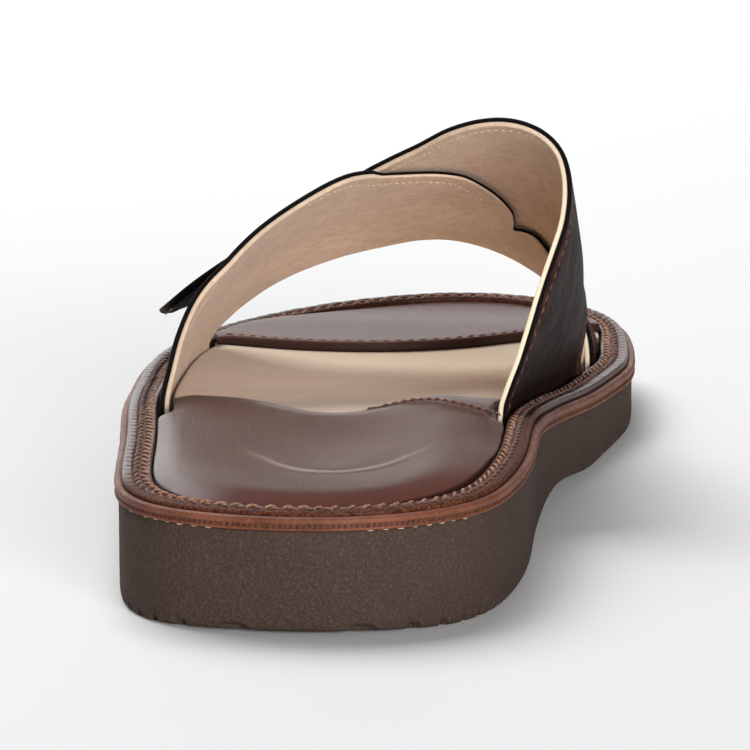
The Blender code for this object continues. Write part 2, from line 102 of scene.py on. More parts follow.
OVER = [
    Band(TAB_TIP, 163.0, 182.0), Band(0.118, 157.5, 187.0), Band(0.16, 154.0, 190.5), Band(0.24, 154.5, 192.0),
    Band(0.33, 158.0, 191.5), Band(0.39, 155.0, 190.8), Band(0.43, 148.0, 190.3), Band(0.464, 145.2, 189.8),
    Band(0.50, 142.0, 189.2), Band(0.54, 134.8, 188.5), Band(0.59, 129.3, 187.5), Band(0.64, 126.8, 189.5),
    Band(0.70, 121.0, 191.0), Band(0.74, 115.4, 190.5), Band(0.77, 111.5, 189.0), Band(0.81, 107.9, 185.0), Band(0.85, 105.0, 182.0),
    Band(0.93, 101.0, 183.5), Band(1.00, 98.0, 192.0),
]
HEEL_PAD, TOE_PAD = Pad(114.5, 114.5, 17.0, -2.8, 16.0), Pad(217.0, 238.0, 17.0, 1.0, 42.0)

# Soft folds of the bands, each along a line on the last from (t0, y0) to (t1, y1): a ridge or, below 0, a trough.
FOLDS = [
    Fold(0.06, 100, 0.09, 160, -0.28, 7.0), Fold(0.17, 108, 0.19, 152, 0.25, 8.0), Fold(0.86, 104, 0.88, 150, 0.25, 8.0),
    Fold(0.92, 100, 0.945, 165, -0.3, 6.0), Fold(0.88, 200, 0.90, 216, -0.25, 6.0), Fold(0.25, 176, 0.33, 196, -0.25, 6.0),
    Fold(0.55, 178, 0.63, 193, 0.2, 8.0), Fold(0.78, 118, 0.80, 168, 0.3, 10.0), Fold(0.83, 112, 0.845, 172, -0.25, 6.0),
]
# The heel cup's rear lip and the sewn line on the medial side of the heel pad.
CUP_LIP = [
    Edge(-18.8, 62.0), Edge(-15.8, 57.4), Edge(-11.7, 51.2), Edge(-6.8, 44.0), Edge(-2.2, 39.3), Edge(2.1, 38.0), Edge(6.1, 38.4),
    Edge(9.9, 41.2), Edge(13.5, 46.6), Edge(16.9, 54.6), Edge(20.4, 61.7), Edge(23.3, 66.3),
]
PAD_LINE = [
    Edge(4.4, 100.9), Edge(8.8, 100.4), Edge(12.2, 100.0), Edge(15.3, 98.6), Edge(18.6, 96.7), Edge(21.6, 95.2), Edge(24.7, 94.0),
    Edge(27.8, 92.2), Edge(30.1, 90.0), Edge(32.2, 87.2),
]


# ---- curves and tables, as in the solids --------------------------------------------------------------------------
def closed_curve(points, steps):
    p = np.array(points, float)
    m = len(p)
    h = np.linalg.norm(np.roll(p, -1, 0) - p, axis=1) ** 0.75
    matrix, right = np.zeros((m, m)), np.zeros((m, 2))
    for i in range(m):
        before, after, nxt = h[i - 1], h[i], (i + 1) % m
        matrix[i, i - 1] += 1 / before
        matrix[i, i] += 2 / before + 2 / after
        matrix[i, nxt] += 1 / after
        right[i] = 3 * ((p[i] - p[i - 1]) / before**2 + (p[nxt] - p[i]) / after**2)
    slope = np.linalg.solve(matrix, right)
    w = np.linspace(0, 1, steps, endpoint=False)[:, None]
    runs = []
    for i in range(m):
        j = (i + 1) % m
        runs.append(
            (2 * w**3 - 3 * w**2 + 1) * p[i] + (w**3 - 2 * w**2 + w) * h[i] * slope[i]
            + (3 * w**2 - 2 * w**3) * p[j] + (w**3 - w**2) * h[i] * slope[j]
        )
    return np.concatenate(runs)


def length_along(curve):
    return np.concatenate([[0], np.cumsum(np.linalg.norm(np.diff(curve, axis=0), axis=1))])


def at_lengths(curve, at):
    run = length_along(curve)
    return np.stack([np.interp(at, run, curve[:, k]) for k in range(curve.shape[1])], 1)


def evenly(curve, parts):
    return at_lengths(curve, np.linspace(0, length_along(curve)[-1], parts + 1))


def outline_ring(count, steps=40):
    curve = closed_curve(OUTLINE, steps)
    toe = int(np.argmax(curve[:, 1]))
    lateral, medial = curve[: toe + 1], np.concatenate([curve[toe:], curve[:1]])
    return np.concatenate([evenly(lateral, count // 2)[:-1], evenly(medial, count // 2)[:-1]])


def inward(ring):
    along = np.roll(ring, -1, 0) - np.roll(ring, 1, 0)
    along /= np.linalg.norm(along, axis=1)[:, None]
    return np.stack([along[:, 1], -along[:, 0]], 1)


def through(table, key, column, at):
    x = np.array([getattr(row, key) for row in table], float)
    y = np.array([getattr(row, column) for row in table], float)
    step = np.diff(y) / np.diff(x)
    slope = np.zeros_like(y)
    same = step[:-1] * step[1:] > 0
    slope[1:-1][same] = (2 * step[:-1] * step[1:])[same] / (step[:-1] + step[1:])[same]
    slope[0], slope[-1] = step[0], step[-1]
    at = np.clip(np.asarray(at, float), x[0], x[-1])
    i = np.clip(np.searchsorted(x, at, side="right") - 1, 0, len(x) - 2)
    h = x[i + 1] - x[i]
    w = (at - x[i]) / h
    return (
        (2 * w**3 - 3 * w**2 + 1) * y[i] + (w**3 - 2 * w**2 + w) * h * slope[i]
        + (3 * w**2 - 2 * w**3) * y[i + 1] + (w**3 - w**2) * h * slope[i + 1]
    )


def ease(x, lo, hi):
    w = np.clip((np.asarray(x, float) - lo) / (hi - lo), 0, 1)
    return w * w * (3 - 2 * w)


def sole_bottom(y):
    return through(SIDE, "y", "bottom", y)


def sole_top(y):
    return through(SIDE, "y", "top", y)


def welt_rise(y):
    return through(SIDE, "y", "welt", y)


def rand_rise(y):
    return RAND_BACK + (RAND_RISE - RAND_BACK) * ease(y, 10.0, 60.0)


def rand_width(ring):
    x, y = ring[:, 0], ring[:, 1]
    return RAND_WIDTH - RAND_SKEW * x / 54.0 + RAND_BALL * ease(x, 5.0, 42.0) * ease(y, 120.0, 195.0) * (1 - ease(y, 215, 250))


COARSE = outline_ring(96)
X0 = (COARSE[:, 0].min() + COARSE[:, 0].max()) / 2
Y0 = (COARSE[:, 1].min() + COARSE[:, 1].max()) / 2
HALF = 4000
FINE = outline_ring(2 * HALF, 400)
FINE_IN = inward(FINE)
PERIMETER = length_along(np.vstack([FINE, FINE[:1]]))[-1]


def side_lines(depth):
    line = FINE + FINE_IN * depth[:, None]
    halves = line[:HALF], line[HALF:]
    return [half[np.argsort(half[:, 1])][:, ::-1] for half in halves]


LAST_FOOT = side_lines(rand_width(FINE) + SLOT_PLAY + WALL)


def slot(x, y):
    front = np.where(np.asarray(x) < 0, 220.0, 228.0)
    return ease(y, 83.0, 91.0) * (1 - ease(np.asarray(y) - front, 0.0, 6.0))


def bed_depth(ring):
    return rand_width(ring) + GAP + slot(ring[:, 0], ring[:, 1]) * (WALL + 2 * SLOT_PLAY - GAP)


BED_SIDES = side_lines(bed_depth(FINE))


def bed_top(x, y):
    left = np.interp(y, BED_SIDES[0][:, 0], BED_SIDES[0][:, 1])
    right = np.interp(y, BED_SIDES[1][:, 0], BED_SIDES[1][:, 1])
    u = (x - (left + right) / 2) / np.maximum((right - left) / 2, 22.0)
    cup = np.exp(-((((x - CUP_X) / CUP_HALF_WIDTH) ** 2 + ((y - CUP_Y) / CUP_HALF_LENGTH) ** 2) ** 1.6))
    waist = ease(y, 50, 105) * (1 - ease(y, 135, 190))
    behind = np.maximum(HEEL_Y - y, 0.0) / HEEL_HALF_LENGTH
    out = np.maximum(np.hypot(x / HEEL_HALF_WIDTH, behind), 1e-6)
    roll = SIDE_ROLL * (1 - ease(y, 60.0, 100.0)) + (BACK_ROLL - SIDE_ROLL) * (behind / out) ** 2
    arch_roll = ARCH_ROLL * ease(u, 0.62, 1.0) * ease(y, 45.0, 75.0) * (1 - ease(y, 105.0, 125.0))
    return (
        sole_top(y) + BED_RISE - CUP_DEPTH * cup - roll * ease(out, 0.34, 1.09) - TOE_DROP * ease(y, 232.0, 268.0) - arch_roll
        + waist * (ARCH_RISE * ease(u, 0.15, 1.0) + OUTER_RISE * ease(-u, 0.3, 1.0))
    )


def ripple(x, y, size, seed):
    """A gentle uneven surface between about -1 and 1, its bumps about this size."""
    state = np.random.default_rng(seed)
    total = np.zeros_like(np.asarray(x, float))
    for _ in range(7):
        turn, phase, stretch = state.uniform(0, 2 * math.pi), state.uniform(0, 2 * math.pi), state.uniform(0.7, 1.5)
        total += np.sin((x * math.cos(turn) + y * math.sin(turn)) * 2 * math.pi / (size * stretch) + phase)
    return total / 3.5


def away(points, line):
    """Distance of each point (x, y) from a line of points, the share of the line passed there, and the side of it."""
    line = np.asarray(line, float)
    share = length_along(line) / length_along(line)[-1]
    best, where, sign = np.full(len(points), 1e9), np.zeros(len(points)), np.ones(len(points))
    for i in range(len(line) - 1):
        d = line[i + 1] - line[i]
        w = np.clip(((points - line[i]) @ d) / (d @ d), 0, 1)
        off = points - line[i] - w[:, None] * d
        dist = np.hypot(off[:, 0], off[:, 1])
        near = dist < best
        best[near] = dist[near]
        where[near] = (share[i] + w * (share[i + 1] - share[i]))[near]
        sign[near] = np.sign(d[0] * off[:, 1] - d[1] * off[:, 0])[near]
    return best, where, sign


def soft_line(points, parts=60):
    """A smooth open line through a few points."""
    p = np.array(points, float)
    run = length_along(p)
    at = np.linspace(0, run[-1], parts)
    slopes = [np.gradient(p[:, k], run) for k in (0, 1)]
    i = np.clip(np.searchsorted(run, at, side="right") - 1, 0, len(run) - 2)
    h = run[i + 1] - run[i]
    w = (at - run[i]) / h
    out = []
    for k in (0, 1):
        y, m = p[:, k], slopes[k]
        out.append((2 * w**3 - 3 * w**2 + 1) * y[i] + (w**3 - 2 * w**2 + w) * h * m[i]
                   + (3 * w**2 - 2 * w**3) * y[i + 1] + (w**3 - w**2) * h * m[i + 1])
    return np.stack(out, 1)


# ---- the last, as a fine table of points with its folds ------------------------------------------------------------
QUARTER = np.linspace(0, math.pi / 2, 301)
LAST_Y = np.arange(80.0, 235.01, 0.5)
LAST_T = np.linspace(0, 1, 901)


def last_sections(y):
    top, centre, lean, n_lat, n_med = (
        through(LAST, "y", column, y)[:, None] for column in ("top", "centre", "lean", "n_lateral", "n_medial")
    )
    foot = sole_top(y)[:, None] + GAP
    lateral = np.interp(y, LAST_FOOT[0][:, 0], LAST_FOOT[0][:, 1])[:, None]
    medial = np.interp(y, LAST_FOOT[1][:, 0], LAST_FOOT[1][:, 1])[:, None]
    c, s = np.cos(QUARTER)[None, :], np.sin(QUARTER)[None, :]
    c = np.maximum(c, 0)
    over_lateral = centre + (lateral - centre) * c ** (2 / n_lat)
    over_medial = centre + (medial - centre) * c ** (2 / n_med)
    spring = foot + UPRIGHT
    arch_medial = spring + (top - spring) * s ** (2 / n_med)
    arch = np.concatenate([spring + (top - spring) * s ** (2 / n_lat), arch_medial[:, -2::-1]], 1)
    swell = SWELL * ease(y, 102.0, 117.0)[:, None] * ease(arch_medial - spring, 0.0, SWELL_OVER) * (1 - ease(QUARTER, 1.0, math.pi / 2))
    x = np.concatenate([lateral, over_lateral, (over_medial + swell)[:, -2::-1], medial], 1)
    z = np.concatenate([foot, arch, foot], 1)
    up = np.maximum(z - foot - LEAN_FROM, 0.0)
    return x + lean * up * (up / (top - foot - LEAN_FROM)) ** LEAN_POWER, z


def unit(v):
    return v / np.maximum(np.linalg.norm(v, axis=-1), 1e-9)[..., None]


def last_table():
    x, z = last_sections(LAST_Y)
    table, girth = np.zeros((len(LAST_Y), len(LAST_T), 3)), np.zeros(len(LAST_Y))
    for i, y in enumerate(LAST_Y):
        run = np.concatenate([[0], np.cumsum(np.hypot(np.diff(x[i]), np.diff(z[i])))])
        girth[i] = run[-1]
        table[i] = np.stack([np.interp(LAST_T * run[-1], run, x[i]), np.full(len(LAST_T), y), np.interp(LAST_T * run[-1], run, z[i])], 1)
    for _ in range(6):      # rounds off the corner above the upright feet
        table[:, 1:-1] = 0.25 * table[:, :-2] + 0.5 * table[:, 1:-1] + 0.25 * table[:, 2:]
    out = unit(np.cross(np.gradient(table, axis=1), np.gradient(table, axis=0)))
    u = LAST_T[None, :] * girth[:, None]
    relief = np.zeros_like(u)
    for fold in FOLDS:
        a = np.array([fold.t0 * np.interp(fold.y0, LAST_Y, girth), fold.y0])
        b = np.array([fold.t1 * np.interp(fold.y1, LAST_Y, girth), fold.y1])
        flat = np.stack([u.ravel(), np.repeat(LAST_Y, len(LAST_T))], 1)
        d = b - a
        w = ((flat - a) @ d) / (d @ d)
        off = np.abs((flat - a)[:, 0] * d[1] - (flat - a)[:, 1] * d[0]) / np.linalg.norm(d)
        relief += (fold.height * np.exp(-((off / fold.width) ** 2)) * ease(w, -0.35, 0.3) * (1 - ease(w, 0.7, 1.35))).reshape(u.shape)
    relief += 0.10 * ripple(u, LAST_Y[:, None], 26.0, 4)
    relief *= ease(u, 4.0, 14.0) * ease(girth[:, None] - u, 4.0, 14.0)
    table = table + out * relief[..., None]
    out = unit(np.cross(np.gradient(table, axis=1), np.gradient(table, axis=0)))
    return table, out, girth


LAST_TABLE, LAST_OUT, GIRTH = last_table()


def on_last(y, t):
    """Points and outward directions on the last."""
    a = np.clip((np.asarray(y) - LAST_Y[0]) / 0.5, 0, len(LAST_Y) - 1.001)
    b = np.clip(np.asarray(t) * (len(LAST_T) - 1), 0, len(LAST_T) - 1.001)
    i, j = a.astype(int), b.astype(int)
    p, q = (a - i)[..., None], (b - j)[..., None]
    results = []
    for source in (LAST_TABLE, LAST_OUT):
        results.append((1 - p) * ((1 - q) * source[i, j] + q * source[i, j + 1]) + p * ((1 - q) * source[i + 1, j] + q * source[i + 1, j + 1]))
    results[1] = unit(results[1])
    return results


def over_rise(y, t):
    girth = np.interp(y, LAST_Y, GIRTH)
    lift = np.clip((TAB_ROOT - t) / (TAB_ROOT - TAB_TIP), 0, 1)
    return OVER_RISE * ease(girth * (1 - t), 3.0, 18.0) + TAB_LIFT * lift**1.6


def under_wall(y, t):
    """The under band's thickness: pared down where the over band lies on it."""
    girth = np.interp(y, LAST_Y, GIRTH)
    inside = np.minimum(np.minimum(y - through(OVER, "t", "rear", t), through(OVER, "t", "front", t) - y), (t - TAB_TIP) * girth)
    covered = ease(inside, -4.5, 0.2)
    return WALL - covered * (WALL - np.minimum(WALL, over_rise(y, t) - 0.06))


# ---- meshes --------------------------------------------------------------------------------------------------------
def piece(name, points, faces, material, node=None, slot_name=None, outward=False, **marks):
    mesh = bpy.data.meshes.new(name)
    points = np.asarray(points, float)
    mesh.from_pydata(((points - [X0, Y0, 0.0]) / 1000.0).tolist(), [], [tuple(int(v) for v in face) for face in faces])
    shape = bmesh.new()
    shape.from_mesh(mesh)
    if outward:
        bmesh.ops.recalc_face_normals(shape, faces=shape.faces[:])
    if shape.calc_volume(signed=True) < 0:
        bmesh.ops.reverse_faces(shape, faces=shape.faces[:])
    shape.to_mesh(mesh)
    shape.free()
    mesh.shade_smooth()
    for key, values in marks.items():
        layer = mesh.attributes.new(key, "FLOAT", "POINT")
        layer.data.foreach_set("value", np.ascontiguousarray(values, np.float32))
    mesh.materials.append(material)
    obj = bpy.data.objects.new(name, mesh)
    bpy.context.scene.collection.objects.link(obj)
    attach(obj, "root")
    if node:
        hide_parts(node)
    return obj


def grid_faces(rows, cols, round_rows=False, round_cols=False):
    r, c = np.arange(rows if round_rows else rows - 1)[:, None], np.arange(cols if round_cols else cols - 1)[None, :]
    r2, c2 = (r + 1) % rows, (c + 1) % cols
    return np.stack([r * cols + c, r * cols + c2, r2 * cols + c2, r2 * cols + c], -1).reshape(-1, 4)


def sheet_faces(rows, cols):
    """A closed sheet of two grids of points, the upper one first."""
    n = rows * cols
    top = grid_faces(rows, cols)
    rim = np.concatenate([
        np.arange(cols), np.arange(1, rows) * cols + cols - 1, (rows - 1) * cols + np.arange(cols - 2, -1, -1), np.arange(rows - 2, 0, -1) * cols,
    ])
    ahead = np.roll(rim, -1)
    return np.concatenate([top, top[:, ::-1] + n, np.stack([ahead, rim, rim + n, ahead + n], 1)])


def rounded(d, r):
    """How much of a sheet's thickness is left at this distance from its rounded edge."""
    q = np.clip(1 - d / r, 0, 1)
    return np.sqrt(1 - 0.96 * q**2)


def paired_ring(depth, rows):
    """Points round the outline, in pairs across the shoe at the y of each row, and the directions in from there."""
    y = (FINE + FINE_IN * depth[:, None])[:, 1]
    lateral = np.arange(0, HALF + 1)
    medial = np.concatenate([[0], np.arange(2 * HALF - 1, HALF - 1, -1)])
    rows = rows[(rows > y[0] + 0.02) & (rows < y[HALF] - 0.02)]
    at = []
    for side in (lateral, medial):
        at.append(np.interp(rows, np.maximum.accumulate(y[side]), side.astype(float) if side is lateral else np.concatenate([[2 * HALF], side[1:]]).astype(float)))
    place = np.concatenate([[0.0], at[0], [HALF], at[1][::-1]])
    i = place.astype(int) % (2 * HALF)
    j, w = (i + 1) % (2 * HALF), (place - place.astype(int))[:, None]
    return FINE[i] * (1 - w) + FINE[j] * w, unit(FINE_IN[i] * (1 - w) + FINE_IN[j] * w)


def lid(points, start, count, columns, height):
    """Faces across a paired ring of the point list, with new points at height(x, y) between its sides."""
    ring = points[start : start + count]
    m = count // 2
    across = np.linspace(0, 1, columns + 1)[1:-1]
    left, right = ring[1:m], ring[: m : -1]
    flat = left[:, None, :2] + (right - left)[:, None, :2] * across[None, :, None]
    new = np.column_stack([flat.reshape(-1, 2), height(flat[..., 0].ravel(), flat[..., 1].ravel())])
    ids = np.zeros((m + 1, columns + 1), int)
    ids[0], ids[m] = start, start + m
    ids[1:m, 0] = start + np.arange(1, m)
    ids[1:m, -1] = start + count - np.arange(1, m)
    ids[1:m, 1:-1] = len(points) + np.arange(new.shape[0]).reshape(m - 1, columns - 1)
    quads = np.stack([ids[:-1, :-1], ids[:-1, 1:], ids[1:, 1:], ids[1:, :-1]], -1).reshape(-1, 4)
    return np.vstack([points, new]), [tuple(dict.fromkeys(q)) for q in quads.tolist()]


def slab(name, ring, inner, walls, bottom_columns, bottom, top_columns, top, material, node, slot_name, **marks):
    rows = [np.column_stack([ring + inner * np.broadcast_to(depth, (len(ring),))[:, None], np.broadcast_to(z, (len(ring),))]) for depth, z in walls]
    points = np.concatenate(rows)
    faces = grid_faces(len(rows), len(ring), round_cols=True).tolist()
    points, more = lid(points, 0, len(ring), bottom_columns, bottom)
    faces += more
    points, more = lid(points, (len(rows) - 1) * len(ring), len(ring), top_columns, top)
    faces += more
    return piece(name, points, faces, material, node, slot_name, outward=True, **{key: mark(points) for key, mark in marks.items()})


def thread(name, starts, ends, normals, radius, rise, sink, material, slot_name):
    """Separate stitches, each a short arched length of thread from its start to its end; one radius or one for each."""
    share = np.linspace(0, 1, 7)
    arch = np.sin(math.pi * share) ** 0.55
    centre = starts[:, None] * (1 - share)[None, :, None] + ends[:, None] * share[None, :, None]
    centre = centre + normals[:, None] * (-sink + (rise + sink) * arch)[None, :, None]
    side = unit(np.cross(normals, unit(ends - starts)))
    turn = np.linspace(0, 2 * math.pi, 7)[:-1]
    thick = np.broadcast_to(radius, (len(starts),))[:, None] * (0.6 + 0.4 * arch)[None, :]
    points = centre[:, :, None] + thick[:, :, None, None] * (
        np.cos(turn)[None, None, :, None] * normals[:, None, None] + np.sin(turn)[None, None, :, None] * side[:, None, None]
    )
    one = grid_faces(7, 6, round_cols=True).tolist() + [tuple(range(5, -1, -1)), tuple(range(36, 42))]
    faces = [tuple(v + 42 * k for v in face) for k in range(len(starts)) for face in one]
    return piece(name, points.reshape(-1, 3), faces, material, slot_name=slot_name, outward=True)


def stitch_ends(line, normals, pitch, gap):
    """Starts, ends and normals of the stitches along a line of points."""
    run = length_along(line)
    count = int(run[-1] / pitch)
    starts = (np.arange(count) + 0.5 * (run[-1] / pitch - count)) * pitch + gap / 2
    places = [at_lengths(line, starts), at_lengths(line, starts + pitch - gap)]
    middle = np.stack([np.interp(starts + (pitch - gap) / 2, run, normals[:, k]) for k in range(3)], 1)
    return places[0], places[1], unit(middle)


# ---- materials -----------------------------------------------------------------------------------------------------
class Look:
    """One material: a Principled shader with the nodes that feed it."""

    def __init__(self, name, roughness=0.5, **fixed):
        self.material = bpy.data.materials.new(name)
        self.material.use_nodes = True
        self.tree = self.material.node_tree
        self.shader = self.tree.nodes["Principled BSDF"]
        self.shader.inputs["Roughness"].default_value = roughness
        for key, value in fixed.items():
            self.shader.inputs[key.replace("_", " ").title().replace("Ior", "IOR")].default_value = value
        self.place = self.node("ShaderNodeTexCoord").outputs["Object"]

    def node(self, kind, **settings):
        node = self.tree.nodes.new(kind)
        for key, value in settings.items():
            setattr(node, key, value)
        return node

    def feed(self, socket, value):
        if isinstance(value, bpy.types.NodeSocket):
            self.tree.links.new(value, socket)
        else:
            socket.default_value = value
        return self

    def noise(self, size_mm, detail=3.0, roughness=0.55, distortion=0.0, place=None):
        node = self.node("ShaderNodeTexNoise")
        self.feed(node.inputs["Vector"], place or self.place)
        self.feed(node.inputs["Scale"], 1000.0 / size_mm)
        self.feed(node.inputs["Detail"], detail).feed(node.inputs["Roughness"], roughness).feed(node.inputs["Distortion"], distortion)
        return node.outputs["Fac"]

    def cells(self, size_mm, feature="F1", smooth=0.4, place=None):
        node = self.node("ShaderNodeTexVoronoi", feature=feature)
        self.feed(node.inputs["Vector"], place or self.place)
        self.feed(node.inputs["Scale"], 1000.0 / size_mm)
        if feature == "SMOOTH_F1":
            self.feed(node.inputs["Smoothness"], smooth)
        return node.outputs["Distance"]

    def warped(self, size_mm, amount_mm):
        """The place of each point, pushed about a little."""
        node = self.node("ShaderNodeTexNoise")
        self.feed(node.inputs["Vector"], self.place).feed(node.inputs["Scale"], 1000.0 / size_mm)
        shift = self.node("ShaderNodeVectorMath", operation="SUBTRACT")
        self.feed(shift.inputs[0], node.outputs["Color"]).feed(shift.inputs[1], (0.5, 0.5, 0.5))
        scaled = self.node("ShaderNodeVectorMath", operation="SCALE")
        self.feed(scaled.inputs[0], shift.outputs[0]).feed(scaled.inputs["Scale"], amount_mm / 1000.0)
        total = self.node("ShaderNodeVectorMath", operation="ADD")
        self.feed(total.inputs[0], self.place).feed(total.inputs[1], scaled.outputs[0])
        return total.outputs[0]

    def stretched(self, x, y, z):
        node = self.node("ShaderNodeMapping")
        self.feed(node.inputs["Vector"], self.place).feed(node.inputs["Scale"], (x, y, z))
        return node.outputs["Vector"]

    def mark(self, name):
        return self.node("ShaderNodeAttribute", attribute_name=name).outputs["Fac"]

    def span(self, value, lo, hi, to_lo=0.0, to_hi=1.0):
        node = self.node("ShaderNodeMapRange", interpolation_type="SMOOTHSTEP", clamp=True)
        for socket, v in zip(node.inputs, (value, lo, hi, to_lo, to_hi)):
            self.feed(socket, v)
        return node.outputs["Result"]

    def sum(self, a, b, operation="ADD"):
        node = self.node("ShaderNodeMath", operation=operation)
        self.feed(node.inputs[0], a).feed(node.inputs[1], b)
        return node.outputs[0]

    def times(self, a, b):
        return self.sum(a, b, "MULTIPLY")

    def mix(self, share, a, b, blend="MIX"):
        node = self.node("ShaderNodeMix", data_type="RGBA", blend_type=blend)
        self.feed(node.inputs["Factor"], share)
        for socket, v in ((node.inputs[6], a), (node.inputs[7], b)):
            self.feed(socket, v if isinstance(v, bpy.types.NodeSocket) else (*v, 1.0))
        return node.outputs[2]

    def colour(self, value):
        self.feed(self.shader.inputs["Base Color"], value)

    def rough(self, value):
        self.feed(self.shader.inputs["Roughness"], value)

    def bumps(self, *layers):
        """Layers of (height, depth in mm), the finest last."""
        normal = None
        for height, depth in layers:
            node = self.node("ShaderNodeBump")
            self.feed(node.inputs["Height"], height).feed(node.inputs["Distance"], depth / 1000.0).feed(node.inputs["Strength"], 1.0)
            if normal is not None:
                self.feed(node.inputs["Normal"], normal)
            normal = node.outputs["Normal"]
        self.feed(self.shader.inputs["Normal"], normal)


def rubber():
    look = Look("sole_rubber", specular_ior_level=0.15)
    broad = look.span(look.noise(22.0, 3.0), 0.35, 0.7)
    fine = look.noise(0.55, 2.0, 0.6)
    base = look.mix(broad, (0.050, 0.031, 0.024), (0.058, 0.037, 0.029))
    base = look.mix(look.span(fine, 0.32, 0.5, 0.38, 0.0), base, (0.033, 0.021, 0.0165))
    base = look.mix(look.span(look.noise(0.42, 1.0, 0.5), 0.50, 0.70, 0.0, 0.34), base, (0.125, 0.090, 0.074))
    look.colour(base)
    look.rough(look.span(fine, 0.3, 0.7, 0.92, 0.72))
    look.bumps((look.noise(6.0, 2.0), 0.15), (look.cells(0.8, "SMOOTH_F1", 0.6, look.warped(2.0, 0.5)), 0.22), (fine, 0.12))
    return look.material


def leather(name, deep, warm, grain=0.9, grain_depth=0.05, rough=(0.30, 0.46), coat=0.25, tone=14.0, swell=0.10, **fixed):
    """Grained leather: pebbles, pores, a cloudy tone and a slight swell of the surface."""
    look = Look(name, coat_weight=coat, coat_roughness=0.22, **fixed)
    warped = look.warped(grain * 2.5, grain * 0.5)
    pebble = look.span(look.cells(grain, "DISTANCE_TO_EDGE", place=warped), 0.02, 0.22)
    pores = look.noise(grain * 0.22, 2.0)
    cloud = look.span(look.noise(tone, 4.0, 0.6), 0.32, 0.7)
    colour = look.mix(cloud, deep, warm)
    colour = look.mix(look.span(pebble, 0.0, 0.6, 0.35, 0.0), colour, tuple(0.45 * v for v in deep))
    heights = [(look.noise(tone * 0.5, 2.0), swell), (pebble, grain_depth), (pores, grain_depth * 0.35)]
    look.colour(colour)
    look.rough(look.span(look.noise(tone * 0.35, 3.0), 0.3, 0.7, *rough))
    look.bumps(*heights)
    return look


def welt_leather():
    look = Look("welt_leather", specular_ior_level=0.22)
    grain = look.noise(0.8, 3.0, 0.6)
    cloud = look.span(look.noise(7.0, 3.0), 0.35, 0.68)
    bead = look.mix(cloud, (0.125, 0.040, 0.020), (0.19, 0.064, 0.034))
    bead = look.mix(look.span(grain, 0.54, 0.72, 0.0, 0.45), bead, (0.29, 0.115, 0.062))
    bead = look.mix(look.span(grain, 0.30, 0.44, 0.5, 0.0), bead, (0.062, 0.021, 0.012))
    sunk = look.mix(look.span(grain, 0.4, 0.65), (0.032, 0.011, 0.007), (0.082, 0.029, 0.018))
    look.colour(look.mix(look.mark("sunk"), bead, sunk))
    look.rough(look.span(grain, 0.3, 0.7, 0.42, 0.66))
    look.bumps((grain, 0.12), (look.noise(0.35, 2.0), 0.05))
    return look.material


def rand_leather():
    look = leather("rand_leather", (0.048, 0.0155, 0.0085), (0.090, 0.030, 0.017), grain=0.75, grain_depth=0.07, rough=(0.27, 0.42), coat=0.05, tone=6.0, specular_ior_level=0.3)
    shader_colour = look.shader.inputs["Base Color"].links[0].from_socket
    mottle = look.mix(look.span(look.noise(0.7, 2.0, 0.6), 0.36, 0.64), (0.040, 0.0125, 0.0066), (0.150, 0.048, 0.025))
    look.colour(look.mix(look.mark("sunk"), shader_colour, mottle))
    look.rough(look.span(look.mark("sunk"), 0.0, 0.8, 0.34, 0.72))
    look.feed(look.shader.inputs["Specular IOR Level"], look.span(look.mark("sunk"), 0.0, 0.8, 0.19, 0.10))
    return look.material


def suede(name, pale, dark, sheen):
    look = Look(name, roughness=0.95, sheen_weight=sheen, sheen_roughness=0.45, specular_ior_level=0.15)
    nap = look.noise(0.42, 3.0, 0.7, place=look.stretched(1.0, 0.55, 1.0))
    cloud = look.span(look.noise(17.0, 4.0, 0.55), 0.3, 0.72)
    streak = look.span(look.noise(5.0, 3.0, 0.6, place=look.stretched(0.5, 1.0, 1.0)), 0.35, 0.7)
    colour = look.mix(cloud, dark, pale)
    colour = look.mix(look.times(streak, 0.22), colour, tuple(min(1.0, 1.12 * v) for v in pale))
    colour = look.mix(look.span(nap, 0.3, 0.55, 0.34, 0.0), colour, tuple(0.62 * v for v in dark))
    look.colour(colour)
    look.bumps((look.noise(3.0, 2.0), 0.10), (nap, 0.11))
    return look


def bed_suede():
    look = suede("bed_suede", (0.77, 0.61, 0.46), (0.70, 0.545, 0.405), 0.2)
    base = look.shader.inputs["Base Color"].links[0].from_socket
    # Painted shade: the bed is darker towards the front, offsetting the stronger light that reaches it between the
    # bands.
    base = look.mix(look.mark("front"), base, (0.53, 0.415, 0.305))
    # Painted shade: near black wherever the dark mark is set, in gaps under the pads, on the walls beside the bands and
    # at the toe pad's lateral corner.
    look.colour(look.mix(look.mark("dark"), base, (0.030, 0.016, 0.012)))
    return look.material


def lining_look():
    look = suede("band_lining", (0.80, 0.605, 0.45), (0.69, 0.505, 0.365), 0.12)
    base = look.shader.inputs["Base Color"].links[0].from_socket
    pores = look.span(look.cells(1.1, "F1", place=look.warped(3.0, 0.8)), 0.0, 0.22, 0.45, 0.0)
    base = look.mix(pores, base, (0.36, 0.245, 0.16))
    base = look.mix(look.span(look.noise(2.2, 4.0, 0.7), 0.36, 0.62, 0.30, 0.0), base, (0.42, 0.285, 0.185))
    base = look.mix(look.mark("cut"), base, (0.92, 0.77, 0.56))
    look.colour(look.mix(look.mark("tape"), base, (0.030, 0.020, 0.016)))
    return look.material


